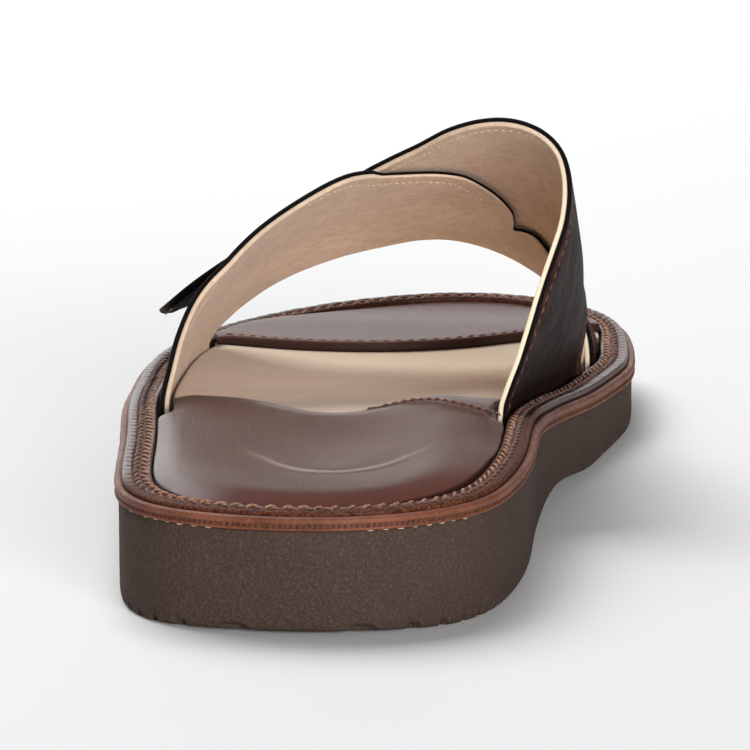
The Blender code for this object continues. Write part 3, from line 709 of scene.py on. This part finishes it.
def band_leather():
    """Very dark brown leather, warmer towards its edges, with black painted edges."""
    look = leather("band_leather", (0.011, 0.0052, 0.0040), (0.021, 0.0088, 0.0064), grain=0.7, grain_depth=0.018, rough=(0.40, 0.50), coat=0.0, tone=16.0, swell=0.02, specular_ior_level=0.008)
    base = look.shader.inputs["Base Color"].links[0].from_socket
    rim = look.mark("rim")
    burnt = look.times(look.span(rim, 2.2, 8.5, 1.0, 0.0), look.span(look.noise(3.2, 4.0, 0.65), 0.38, 0.64))
    base = look.mix(look.times(burnt, 0.65), base, (0.105, 0.030, 0.017))
    # Painted highlight: the tab's rounded tip is coloured a light olive where light catches it.
    base = look.mix(look.mark("tip"), base, (0.075, 0.062, 0.040))
    look.colour(look.mix(look.mark("cut"), base, (0.008, 0.007, 0.007)))
    return look.material


def yarn(name, colour, dark):
    look = Look(name, roughness=0.6, sheen_weight=0.2)
    twist = look.noise(0.5, 2.0, 0.6)
    look.colour(look.mix(look.span(twist, 0.35, 0.62), dark, colour))
    look.bumps((twist, 0.12))
    return look.material


def pad_leather():
    look = leather("pad_leather", (0.066, 0.0235, 0.0165), (0.088, 0.0335, 0.0245), grain=0.5, grain_depth=0.045, rough=(0.32, 0.42), coat=0.0, tone=20.0, swell=0.05, specular_ior_level=0.25)
    base = look.shader.inputs["Base Color"].links[0].from_socket
    # Painted highlight: a light grey line along the crest of the heel cup's rear lip.
    base = look.mix(look.mark("lip"), base, (0.40, 0.31, 0.275))
    base = look.mix(look.mark("worn"), base, (0.088, 0.023, 0.0145))
    look.colour(look.mix(look.mark("cut"), base, (0.030, 0.012, 0.009)))
    look.rough(look.span(look.mark("worn"), 0.0, 1.0, 0.37, 0.62))
    look.feed(look.shader.inputs["Specular IOR Level"], look.span(look.mark("worn"), 0.0, 1.0, 0.31, 0.06))
    return look.material


RUBBER, WELT, RAND, PAD = rubber(), welt_leather(), rand_leather(), pad_leather()
SUEDE, BAND, LINED = bed_suede(), band_leather(), lining_look()
TAN_YARN = yarn("tan_thread", (0.36, 0.155, 0.070), (0.15, 0.052, 0.024))
RUST_YARN = yarn("rust_thread", (0.22, 0.068, 0.030), (0.075, 0.022, 0.012))
BLACK_YARN = yarn("dark_thread", (0.035, 0.015, 0.010), (0.014, 0.007, 0.005))
CREAM_YARN = yarn("cream_thread", (0.60, 0.455, 0.33), (0.44, 0.32, 0.22))
LINING_YARN = yarn("lining_thread", (0.70, 0.54, 0.40), (0.52, 0.385, 0.27))
DARK_YARN = yarn("brown_thread", (0.165, 0.058, 0.030), (0.055, 0.018, 0.010))


# ---- the sole ------------------------------------------------------------------------------------------------------
def rib(y):
    """How deep the tread is cut here, from 0 on a rib to 1 in a groove."""
    from_groove = np.abs((np.asarray(y) - 4.0 + RIB_PITCH / 2) % RIB_PITCH - RIB_PITCH / 2)
    return 1 - ease(from_groove, 0.47, RIB_GROOVE / 2)


def make_outsole():
    bottom_set = np.full(2 * HALF, SOLE_SET + 1.5)
    low_y = (FINE + FINE_IN * bottom_set[:, None])[:, 1]
    centres = np.arange(4.0, LENGTH - 3, RIB_PITCH)
    cuts = np.concatenate([centres + off for off in (-0.85, -0.73, -0.61, -0.47, 0.0, 0.47, 0.61, 0.73, 0.85)])
    rows = np.unique(np.round(np.concatenate([low_y[: HALF : 11], cuts]), 2))
    ring, inner = paired_ring(bottom_set, rows)
    y = ring[:, 1]
    cut = rib((ring + inner * bottom_set[0])[:, 1]) * RIB_DEPTH
    low, top = sole_bottom(y), sole_top(y)
    walls = []
    for height, depth in ((0.0, 1.5), (0.04, 1.0), (0.2, 0.62), (0.5, 0.34), (1.0, 0.14), (1.7, 0.04), (2.6, 0.0), (4.0, 0.0)):
        walls.append((SOLE_SET + depth, low + height + cut * max(0.0, 1 - height / 4.0)))
    for share in (0.2, 0.4, 0.6, 0.8, 0.95):
        z = low + 4.0 + (top - 0.5 - low - 4.0) * share
        walls.append((SOLE_SET + 0.06 * ripple(length_along(ring), z, 19.0, 9) + 0.05 * share, z))
    walls += [(SOLE_SET + 0.1, top - 0.35), (SOLE_SET + 0.2, top - 0.1), (SOLE_SET + 0.5, top)]
    return slab("outsole_rubber", ring, inner, walls, 14, lambda x, v: sole_bottom(v) + RIB_DEPTH * rib(v), 2, lambda x, v: sole_top(v), RUBBER, "outsole", "sole_rubber")


def ring_points(count):
    at = np.arange(count) * (2 * HALF) // count
    return FINE[at], FINE_IN[at]


def make_welt():
    marks = int(round(PERIMETER / WHEEL_PITCH))
    count = 2000
    ring, inner = ring_points(count)
    run = length_along(np.vstack([ring, ring[:1]]))[:-1] / PERIMETER
    y, width = ring[:, 1], rand_width(ring)
    base, rise = sole_top(y) + 0.06, welt_rise(y) - 0.06
    Row = namedtuple("Row", "depth height groove")
    section = [
        Row(1.7, 0.0, 0), Row(0.75, 0.0, 0), Row(0.34, 0.03, 0), Row(0.14, 0.08, 0), Row(0.06, 0.14, 0), Row(0.10, 0.20, 0.1), Row(0.28, 0.25, 0.5),
        Row(0.46, 0.30, 1), Row(0.54, 0.36, 1), Row(0.52, 0.42, 1), Row(0.38, 0.475, 0.8), Row(0.20, 0.52, 0.35), Row(0.06, 0.58, 0.05), Row(0.0, 0.68, 0),
        Row(0.03, 0.80, 0), Row(0.16, 0.90, 0), Row(0.42, 0.965, 0), Row(0.85, 0.995, 0), Row(1.25, 0.985, 0), Row(1.5, 0.95, 0.4), Row(1.7, 0.90, 1),
        Row(2.6, 0.90, 1),
    ]
    rows, sunk = [], []
    for row in section:
        wheel = 0.5 + 0.5 * np.cos(2 * math.pi * (run * marks + 0.9 * row.height))
        depth = row.depth - WHEEL_DEPTH * row.groove * wheel * (row.height < 0.7)
        wobble = 0.03 * ripple(run * PERIMETER, np.full(count, row.height * 8), 11.0, 3)
        rows.append(np.column_stack([ring + inner * (depth + wobble)[:, None], base + rise * row.height]))
        sunk.append(np.clip(row.groove * (1 - 0.75 * wheel * (row.height < 0.7)), 0, 1) * np.ones(count))
    for depth, height in ((width, 0.90), (width, 0.0)):
        rows.append(np.column_stack([ring + inner * depth[:, None], base + rise * height]))
        sunk.append(np.zeros(count))
    return piece("welt_strip", np.concatenate(rows), grid_faces(len(rows), count, True, True), WELT, "welt", "welt_leather", sunk=np.concatenate(sunk))


def make_sole_stitches():
    """Pale thread that just shows under the welt at the two corners of the heel."""
    count = int(PERIMETER / 3.2)
    at = (np.arange(count) * (2 * HALF) / count).astype(int)
    x, y = FINE[at].T
    at = at[((y < 24) & (x < -15)) | ((y < 16) & (x > 14))]
    ahead = (at + int(0.5 * 2 * HALF / count)) % (2 * HALF)
    hidden = 0.30 + 0.30 * (np.sin(np.arange(len(at)) * 2.399) * 0.5 + 0.5)
    ends = []
    for i in (at, ahead):
        p = FINE[i] + FINE_IN[i] * (SOLE_SET + hidden - 0.42)[:, None]
        ends.append(np.column_stack([p, sole_top(FINE[i][:, 1]) + 0.02]))
    out = np.column_stack([-FINE_IN[at], np.zeros(len(at))])
    thread("sole_stitches", ends[0], ends[1], out, 0.17, 0.05, 0.5, CREAM_YARN, "welt_leather")


def rand_frame(place):
    """The rand's outer edge and inner direction, its width, and the height it stands on, at places along the outline."""
    i = (np.asarray(place) % 1.0 * 2 * HALF).astype(int) % (2 * HALF)
    return FINE[i], FINE_IN[i], rand_width(FINE[i]) - RAND_IN, sole_top(FINE[i][:, 1]) + welt_rise(FINE[i][:, 1])


RAND_COUNT = int(round(PERIMETER / RAND_STITCH))


def make_rand():
    count = RAND_COUNT * 12
    run = np.arange(count) / count
    ring, inner, width, base = rand_frame(run)
    scale = rand_rise(ring[:, 1]) / RAND_RISE
    Row = namedtuple("Row", "share height sunk pinch")
    section = [
        Row(0.0, -0.25, 0, 0), Row(0.0, 0.65, 0, 0), Row(0.012, 1.02, 0, 0), Row(0.04, 1.32, 0, 0.2), Row(0.08, 1.47, 0, 0.4), Row(0.14, 1.54, 0, 0.7),
        Row(0.22, 1.56, 0, 0.9), Row(0.29, 1.53, 0.0, 1.2), Row(0.335, 1.44, 0.4, 1.5), Row(0.365, 1.29, 0.9, 1), Row(0.40, 1.20, 1, 0.6), Row(0.48, 1.16, 1, 0),
        Row(0.57, 1.19, 1, 0), Row(0.66, 1.16, 1, 0), Row(0.74, 1.19, 1, 0.6), Row(0.785, 1.29, 0.9, 1), Row(0.82, 1.42, 0.4, 1.3), Row(0.86, 1.50, 0.2, 1),
        Row(0.91, 1.50, 0.1, 0.6), Row(0.955, 1.36, 0, 0.3), Row(0.985, 1.0, 0.3, 0), Row(1.0, 0.5, 0.6, 0), Row(1.0, -0.25, 0.6, 0),
    ]
    hole = np.abs((run * RAND_COUNT + 0.5) % 1.0 - 0.5) * PERIMETER / RAND_COUNT
    rows, sunk = [], []
    for row in section:
        height = row.height - 0.16 * row.pinch * np.exp(-((hole / 0.6) ** 2)) + 0.04 * ripple(run * PERIMETER, np.full(count, row.share * 6), 7.0, 7) * (row.height > 0.6)
        height = np.where(row.height < 0, row.height, height * scale)
        rows.append(np.column_stack([ring + inner * (RAND_IN + row.share * width)[:, None], base + height]))
        sunk.append(np.maximum(row.sunk, 0.8 * (1 - ease(ring[:, 1], 14.0, 40.0)) + 0.6 * ease(ring[:, 0], 20.0, 30.0) * (1 - ease(ring[:, 1], 90.0, 140.0))))
    piece("rand_ring", np.concatenate(rows), grid_faces(len(rows), count, True, True), RAND, "rand", "rand_leather", sunk=np.concatenate(sunk))

    state = np.random.default_rng(5)
    for name, from_share, to_share, lead, yarn_look in (("rand_stitches_inner", 0.88, 0.62, 0.0, TAN_YARN), ("rand_stitches_outer", 0.37, 0.56, 0.5, DARK_YARN)):
        k = np.arange(RAND_COUNT)
        ends = []
        for at, share in ((k + lead + 0.10, from_share), (k + lead + 0.90, to_share)):
            at, share = at + state.normal(0, 0.05, RAND_COUNT), share + state.normal(0, 0.018, RAND_COUNT)
            ring, inner, width, base = rand_frame(at / RAND_COUNT)
            rise = (1.40 if share.mean() > 0.75 else 1.22) * rand_rise(ring[:, 1]) / RAND_RISE
            ends.append(np.column_stack([ring + inner * (RAND_IN + share * width)[:, None], base + rise]))
        up = np.tile([0.0, 0.0, 1.0], (RAND_COUNT, 1))
        thread(name, ends[0], ends[1], up, 0.31 * (1 + state.normal(0, 0.12, RAND_COUNT)), 0.20, 0.35, yarn_look, "rand_leather")


def make_footbed():
    def near_bands(ring):
        return bed_depth(ring) - 0.6 * slot(ring[:, 0], ring[:, 1])

    y = (FINE + FINE_IN * near_bands(FINE)[:, None])[:, 1]
    ring, inner = paired_ring(near_bands(FINE), np.unique(np.round(y[: HALF : 13], 2)))
    depth = near_bands(ring)

    def top(x, v):
        return bed_top(x, v) + 0.06 * ripple(x, v, 30.0, 12)

    def rim(more):
        p = ring + inner * (depth + more)[:, None]
        return top(p[:, 0], p[:, 1])

    base = sole_top(ring[:, 1]) + GAP
    walls = [(depth, base), (depth, rim(0) - 0.8), (depth + 0.1, rim(0.1) - 0.4), (depth + 0.3, rim(0.3) - 0.16), (depth + 0.7, rim(0.7) - 0.04), (depth + 1.4, rim(1.4))]

    # Painted shade: the suede is made near black under the pads, along the heel pad's sides, on the bed's walls beside
    # the bands and at the lateral corner by the toe pad, where it shows only in gaps.
    def dark(p):
        x, v = p[:, 0], p[:, 1]
        inside = np.minimum(x - np.interp(v, *BED_SIDES[0].T), np.interp(v, *BED_SIDES[1].T) - x)
        ends = np.maximum(1 - ease(v, 92.0, 95.0), ease(v - 0.2 * (x + 40.0), 224.0, 226.0))
        corner = ease(v, 211.0, 215.0) * (1 - ease(x, -40.5, -38.5))
        under_pad = (1 - ease(v, 108.0, 112.0)) * (1 - ease(inside, 0.1, 0.6))
        return np.maximum(np.maximum(ends, corner), np.maximum(under_pad, 1 - ease(inside, -0.5, -0.2)))

    # The front mark is painted shade: it darkens the bed's front against the stronger light that falls there.
    slab("footbed_suede", ring, inner, walls, 2, lambda x, v: sole_top(v) + GAP, 44, top, SUEDE, "footbed", "bed_suede", dark=dark, front=lambda p: 0.8 * ease(p[:, 1], 160.0, 200.0))


# ---- the pads ------------------------------------------------------------------------------------------------------
def until(line, y):
    beyond = np.sign(line[:, 1] - y)
    i = int(np.argmax(beyond != beyond[0]))
    w = (y - line[i - 1, 1]) / (line[i, 1] - line[i - 1, 1])
    return np.vstack([line[:i], line[i - 1] + w * (line[i] - line[i - 1])])


def pad_grid(size, from_heel, rows, columns):
    """The pad's points (x, y) in rows from the shoe's end to the free edge, its outer rim and its free edge."""
    edge = np.roll(FINE + FINE_IN * (bed_depth(FINE) + PAD_INSET)[:, None], 0 if from_heel else -HALF, 0)
    onward, back = edge[: HALF + 1], np.vstack([edge[:1], edge[: HALF - 1 : -1]])
    lateral, medial = (onward, back) if from_heel else (back, onward)
    lateral, medial = until(lateral, size.lateral), until(medial, size.medial)
    near = np.array([0, 0.12, 0.3, 0.55, 0.9, 1.4, 2.1, 3.0])
    reach = length_along(lateral)[-1]
    r = np.concatenate([np.linspace(0.012, 1 - 4.0 / reach, rows - len(near)), (1 - near / reach)[::-1]])
    a, b = at_lengths(lateral, r * reach), at_lengths(medial, r * length_along(medial)[-1])
    width = np.linalg.norm(b - a, axis=1)
    close = np.minimum(near[None, :] / width[:, None], np.linspace(0, 0.2, len(near))[None, :])
    middle = np.linspace(0, 1, columns - 2 * len(near) + 2)[None, 1:-1]
    lo = np.minimum(4.2 / width, 0.24)[:, None]
    c = np.concatenate([close, lo + (1 - 2 * lo) * middle, 1 - close[:, ::-1]], 1)
    flat = a[:, None] + (b - a)[:, None] * c[..., None]
    from_middle = np.clip((flat[..., 0] - size.middle) / size.reach, -1, 1)
    flat[..., 1] -= size.dip * r[:, None] ** 2 * (1 - from_middle**2) ** 1.2
    rim = np.vstack([lateral[::-1][:: 12], medial[:: 12]])
    return flat, rim, flat[-1]


def make_heel_pad():
    flat, rim, front = pad_grid(HEEL_PAD, True, 150, 116)
    shape = flat.shape[:2]
    p = flat.reshape(-1, 2)
    from_rim, _, _ = away(p, rim)
    from_front, _, _ = away(p, front)
    bed = bed_top(p[:, 0], p[:, 1]) + GAP
    lip, along, side = away(p, soft_line(CUP_LIP))
    lip_fade = ease(along, 0.0, 0.42) * (1 - ease(along, 0.62, 1.0))
    line, line_at, line_side = away(p, soft_line(PAD_LINE))
    height = PAD_RISE - 1.25 * (1 - ease(from_front, -1.0, 9.0))
    height += 0.05 * ripple(p[:, 0], p[:, 1], 24.0, 21)
    height -= (1.0 - 0.6 * ease(p[:, 0], 8.0, 26.0)) * np.clip(1 - from_rim / 5.0, 0, 1) ** 2
    signed = lip * side
    height += lip_fade * (0.50 * np.exp(-((lip / 0.85) ** 2)) - 0.40 * np.where(signed > 0, np.exp(-(((lip - 3.0) / 2.6) ** 2)), 0.0))
    height += 0.42 * np.exp(-((line / 0.7) ** 2)) + 0.22 * ease(line * line_side, -0.3, 0.6) * (1 - ease(line, 4.0, 12.0))
    body = rounded(np.minimum(from_rim, from_front), 0.35)
    low, high = np.column_stack([p, bed]), np.column_stack([p, bed + np.maximum(height, 0.25) * body])
    cut = ease(0.30 - from_rim, 0, 0.2)
    # Painted highlight along the crest of the cup's rear lip, carried in the lip mark.
    shine = 0.9 * lip_fade * np.exp(-((lip / 1.0) ** 2))
    round_heel = ease(p[:, 0], -26.0, -8.0) * (1 - 0.45 * ease(p[:, 1], 20.0, 44.0)) * (1 - ease(p[:, 1], 50.0, 78.0))
    worn = round_heel * (1 - ease(from_rim, 5.5, 15.0))
    piece("heel_pad_leather", np.vstack([high, low]), sheet_faces(*shape), PAD, "heel_pad", "pad_leather",
          cut=np.concatenate([cut, cut]), lip=np.concatenate([shine, 0 * shine]), worn=np.concatenate([worn, worn]))

    track = soft_line(PAD_LINE, 200)[14:]
    h = bed_top(track[:, 0], track[:, 1]) + GAP + PAD_RISE - 1.25 * (1 - ease(away(track, front)[0], -1.0, 9.0)) + 0.40
    starts, ends, up = stitch_ends(np.column_stack([track, h]), np.tile([0.0, 0.0, 1.0], (len(track), 1)), 2.0, 0.35)
    thread("heel_pad_stitches", starts, ends, up, 0.26, 0.14, 0.25, RUST_YARN, "pad_leather")


def make_toe_pad():
    flat, rim, rear = pad_grid(TOE_PAD, False, 110, 100)
    shape = flat.shape[:2]
    p = flat.reshape(-1, 2)
    from_rim, _, _ = away(p, rim)
    from_rear, _, _ = away(p, rear)
    bed = bed_top(p[:, 0], p[:, 1]) + GAP
    height = PAD_RISE + 0.05 * ripple(p[:, 0], p[:, 1], 24.0, 31) - 0.35 * np.clip(1 - from_rim / 6.0, 0, 1) ** 2
    height += 0.28 * np.exp(-(((from_rear - 1.0) / 1.0) ** 2)) - 0.28 * np.exp(-(((from_rear - 2.5) / 0.5) ** 2))
    body = rounded(np.minimum(from_rim, from_rear), 0.45)
    low, high = np.column_stack([p, bed - 0.25]), np.column_stack([p, bed + height * body])
    # The toe pad's rear wall is near black: partly the leather's dark edge colour, partly painted shade in the line
    # under its raised rear edge.
    cut = np.concatenate([ease(0.3 - np.minimum(from_rim, from_rear), 0.0, 0.25), ease(6.0 - from_rear, 0, 3)])
    piece("toe_pad_leather", np.vstack([high, low]), sheet_faces(*shape), PAD, "toe_pad", "pad_leather", cut=cut, lip=0 * cut, worn=0 * cut + 0.4)

    inset = np.gradient(rear, axis=0)
    inset = unit(np.stack([-inset[:, 1], inset[:, 0]], 1))
    track = evenly((rear + inset * 1.55)[4:-4], 200)
    h = bed_top(track[:, 0], track[:, 1]) + GAP + PAD_RISE + 0.12
    starts, ends, up = stitch_ends(np.column_stack([track, h]), np.tile([0.0, 0.0, 1.0], (201, 1)), PAD_STITCH, 0.7)
    thread("toe_pad_stitches", starts, ends, up, 0.30, 0.16, 0.3, RUST_YARN, "pad_leather")


# ---- the bands -----------------------------------------------------------------------------------------------------
NEAR = np.array([0, 0.06, 0.16, 0.32, 0.6, 1.0, 1.7, 2.6, 3.2, 3.55, 3.9, 4.25, 4.6, 5.4])


def stretch(table, t, column):
    """How much longer a step in y is than the same step square to this edge of the band."""
    y = through(table, "t", column, t)
    slope = np.gradient(y, t) / np.interp(y, LAST_Y, GIRTH)
    soft = np.convolve(np.pad(np.sqrt(1 + np.minimum(slope**2, 6.0)), 4, mode="edge"), np.ones(9) / 9, "valid")
    return np.minimum(soft, 2.2)


def band_places(table, steps, middle):
    """Places (y, t) over a band, closer together at its edges, and each one's distance from the nearest edge."""
    first, last = table[0].t, table[-1].t
    ends = NEAR[:8] / 195.0
    t = np.concatenate([first + ends, np.linspace(first + ends[-1] + 0.006, last - ends[-1] - 0.006, steps), (last - ends)[::-1]])
    rear, front = through(table, "t", "rear", t), through(table, "t", "front", t)
    width = front - rear
    k_rear, k_front = stretch(table, t, "rear"), stretch(table, t, "front")
    limit = 0.42 * width / NEAR[-1]
    step_rear, step_front = np.minimum(k_rear, limit), np.minimum(k_front, limit)
    from_rear, from_front = NEAR[None, :] * step_rear[:, None], NEAR[None, :] * step_front[:, None]
    share = np.linspace(0, 1, middle + 2)[None, 1:-1]
    inner = (from_rear[:, -1:] + (width[:, None] - from_rear[:, -1:] - from_front[:, -1:]) * share)
    y = rear[:, None] + np.concatenate([from_rear, inner, (width[:, None] - from_front)[:, ::-1]], 1)
    tt = np.repeat(t[:, None], y.shape[1], 1)
    off_rear, off_front = (y - rear[:, None]) / k_rear[:, None], (front[:, None] - y) / k_front[:, None]
    off_end = np.minimum(tt - first, last - tt) * 195.0
    return y, tt, np.minimum(np.minimum(off_rear, off_front), off_end), np.minimum(off_rear, off_front)


def make_band(name, table, steps, middle, rise, wall):
    y, t, off, sides = band_places(table, steps, middle)
    shape = y.shape
    y, t, off, sides = y.ravel(), t.ravel(), off.ravel(), sides.ravel()
    p, out = on_last(y, t)
    inner, thick = rise(y, t), wall(y, t)
    sewn = 0.16 * np.exp(-(((sides - SEW_IN) / 0.45) ** 2))
    puff = 0.10 * np.exp(-(((sides - 2.0) / 1.1) ** 2))

    tab = 1 - ease(t, TAB_ROOT - 0.03, TAB_ROOT + 0.05) if table is OVER else np.zeros_like(t)
    seam = LINING_TO - 0.30 * tab
    lo, hi = inner + thick * seam + SEAM, inner + thick - sewn + puff
    mid, full = (lo + hi) / 2, rounded(off, 0.5)
    cut = ease(0.42 - off, 0.0, 0.2)
    # Painted highlight: the tab's rounded tip, coloured light olive in place of its black edge.
    tip = 0.8 * (1 - ease(t, TAB_TIP + 0.002, TAB_TIP + 0.03)) if table is OVER else np.zeros_like(t)
    top, bottom = p + out * (mid + (hi - mid) * full)[:, None], p + out * (mid - (mid - lo) * full)[:, None]
    piece(name + "_leather", np.vstack([top, bottom]), sheet_faces(*shape), BAND, "upper", "band_leather",
          cut=np.concatenate([cut * (1 - tip), np.ones_like(cut) * (1 - tip)]), rim=np.concatenate([sides, sides]), tip=np.concatenate([tip, tip]))

    spare = np.clip(inner - under_wall(y, t) - 0.15, 0.0, 1.3) * tab * ease(off, 0.0, 7.0)
    hi, lo = inner + thick * seam - SEAM, inner + thick * LINING_FROM * (1 - 0.8 * tab) + sewn - spare
    mid, full = (lo + hi) / 2 + (hi - lo) / 2 * tab, rounded(np.maximum(off - 0.8 * tab, 0.0), 0.3 + 0.9 * tab)
    top, bottom = p + out * (mid + (hi - mid) * full)[:, None], p + out * (mid - (mid - lo) * full)[:, None]
    tape = ease(TAB_ROOT + 0.03 - t, 0.0, 0.02) if table is OVER else np.zeros_like(t)
    bare = 0.08 + 0.92 * ease(t, 0.60, 0.77) if table is OVER else 0.12 + 0.38 * ease(t, 0.84, 0.92)
    cut = ease(0.3 - off, 0.0, 0.15) * bare
    piece(name + "_lining", np.vstack([top, bottom]), sheet_faces(*shape), LINED, "upper", "band_leather",
          cut=np.concatenate([cut, cut]), tape=np.concatenate([tape, tape]))


def band_line(table, column, first, last, side_in):
    """Points (y, t) of the stitch line this far in from a band's edge."""
    t = np.linspace(first, last, 700)
    width = through(table, "t", "front", t) - through(table, "t", "rear", t)
    step = np.minimum(side_in * stretch(table, t, column), 0.42 * width / NEAR[-1] * side_in)
    return through(table, "t", column, t) + (step if column == "rear" else -step), t


def sew(name, table, column, first, last, rise, wall, inside, yarn_look):
    y, t = band_line(table, column, first, last, SEW_IN)
    p, out = on_last(y, t)
    if inside:
        line, normals = p + out * (rise(y, t) + wall(y, t) * LINING_FROM + 0.10)[:, None], -out
    else:
        line, normals = p + out * (rise(y, t) + wall(y, t) - 0.12)[:, None], out
    starts, ends, middle = stitch_ends(line, normals, 1.7 if inside else BAND_STITCH, 0.55)
    thread(name, starts, ends, middle, 0.17, 0.06, 0.3, yarn_look, "band_leather")


def flat_rise(y, t):
    return np.zeros_like(y)


def full_wall(y, t):
    return np.full_like(y, WALL)


def make_upper():
    make_band("under_band", UNDER, 300, 22, flat_rise, under_wall)
    make_band("over_band", OVER, 270, 26, over_rise, full_wall)
    sew("over_rear_stitches", OVER, "rear", 0.13, 0.975, over_rise, full_wall, False, RUST_YARN)
    sew("over_front_stitches", OVER, "front", 0.13, 0.975, over_rise, full_wall, False, BLACK_YARN)
    sew("over_rear_lining_stitches", OVER, "rear", 0.31, 0.96, over_rise, full_wall, True, LINING_YARN)
    sew("under_rear_stitches_lateral", UNDER, "rear", 0.03, 0.40, flat_rise, under_wall, False, RUST_YARN)
    sew("under_front_stitches_lateral", UNDER, "front", 0.03, 0.975, flat_rise, under_wall, False, BLACK_YARN)
    sew("under_rear_lining_stitches", UNDER, "rear", 0.33, 0.665, flat_rise, under_wall, True, LINING_YARN)


make_outsole()
make_welt()
make_sole_stitches()
make_rand()
make_footbed()
make_heel_pad()
make_toe_pad()
make_upper()


# ---- studio --------------------------------------------------------------------------------------------------------
def studio():
    scene = bpy.context.scene
    mesh = bpy.data.meshes.new("floor")
    mesh.from_pydata([(-6, -6, 0), (6, -6, 0), (6, 9, 0), (-6, 9, 0)], [], [(0, 1, 2, 3)])
    look = Look("pale_floor", roughness=0.75, specular_ior_level=0.1)
    look.colour(look.mix(look.noise(400.0, 2.0), (0.795, 0.797, 0.80), (0.81, 0.81, 0.812)))
    mesh.materials.append(look.material)
    floor = bpy.data.objects.new("floor", mesh)
    scene.collection.objects.link(floor)

    world = bpy.data.worlds.new("soft_room")
    world.use_nodes = True
    tree = world.node_tree
    background = tree.nodes["Background"]
    background.inputs["Color"].default_value = (1.0, 1.0, 1.0, 1.0)
    parts = tree.nodes.new("ShaderNodeSeparateXYZ")
    tree.links.new(tree.nodes.new("ShaderNodeTexCoord").outputs["Generated"], parts.inputs[0])
    sides, above = (tree.nodes.new("ShaderNodeMapRange") for _ in range(2))
    for node, source, values in ((sides, "X", (-0.45, 0.4, 0.30, 0.02)), (above, "Z", (0.3, 0.75, 0.0, 1.0))):
        node.interpolation_type = "SMOOTHSTEP"
        tree.links.new(parts.outputs[source], node.inputs[0])
        for k, value in enumerate(values):
            node.inputs[k + 1].default_value = value
    room = tree.nodes.new("ShaderNodeMix")
    tree.links.new(above.outputs["Result"], room.inputs[0])
    tree.links.new(sides.outputs["Result"], room.inputs[2])
    room.inputs[3].default_value = 0.08
    tree.links.new(room.outputs[0], background.inputs["Strength"])
    scene.world = world

    def area(name, place, wide, high, power):
        light = bpy.data.lights.new(name, "AREA")
        light.shape, light.size, light.size_y, light.energy = "RECTANGLE", wide, high, power
        obj = bpy.data.objects.new(name, light)
        obj.location = place
        obj.rotation_euler = (Vector((0.0, 0.0, 0.03)) - Vector(place)).to_track_quat("-Z", "Y").to_euler()
        scene.collection.objects.link(obj)

    area("key", (-0.75, 1.05, 1.9), 1.8, 1.8, 59.0)
    area("far", (-0.6, 2.7, 0.5), 2.6, 0.8, 17.0)
    area("fill", (0.9, -2.15, 0.52), 1.3, 0.7, 58.0)

    scene.view_settings.view_transform = "Standard"
    scene.view_settings.look = "None"

    data = bpy.data.cameras.new("camera")
    data.lens, data.sensor_width = 312.4, 36.0
    data.clip_end = 50.0
    camera = bpy.data.objects.new("camera", data)
    ahead = Vector((-0.09780, 0.97685, -0.19026)).normalized()
    right = Vector((math.cos(0.0615), math.sin(0.0615), 0.0))
    right = (right - right.dot(ahead) * ahead).normalized()
    up = right.cross(ahead)
    turn = Matrix((right, up, -ahead)).transposed().to_4x4()
    camera.matrix_world = Matrix.Translation(Vector(((134.853 - X0) / 1000, (-1190.963 - Y0) / 1000, 0.2829))) @ turn
    scene.collection.objects.link(camera)
    scene.camera = camera


studio()
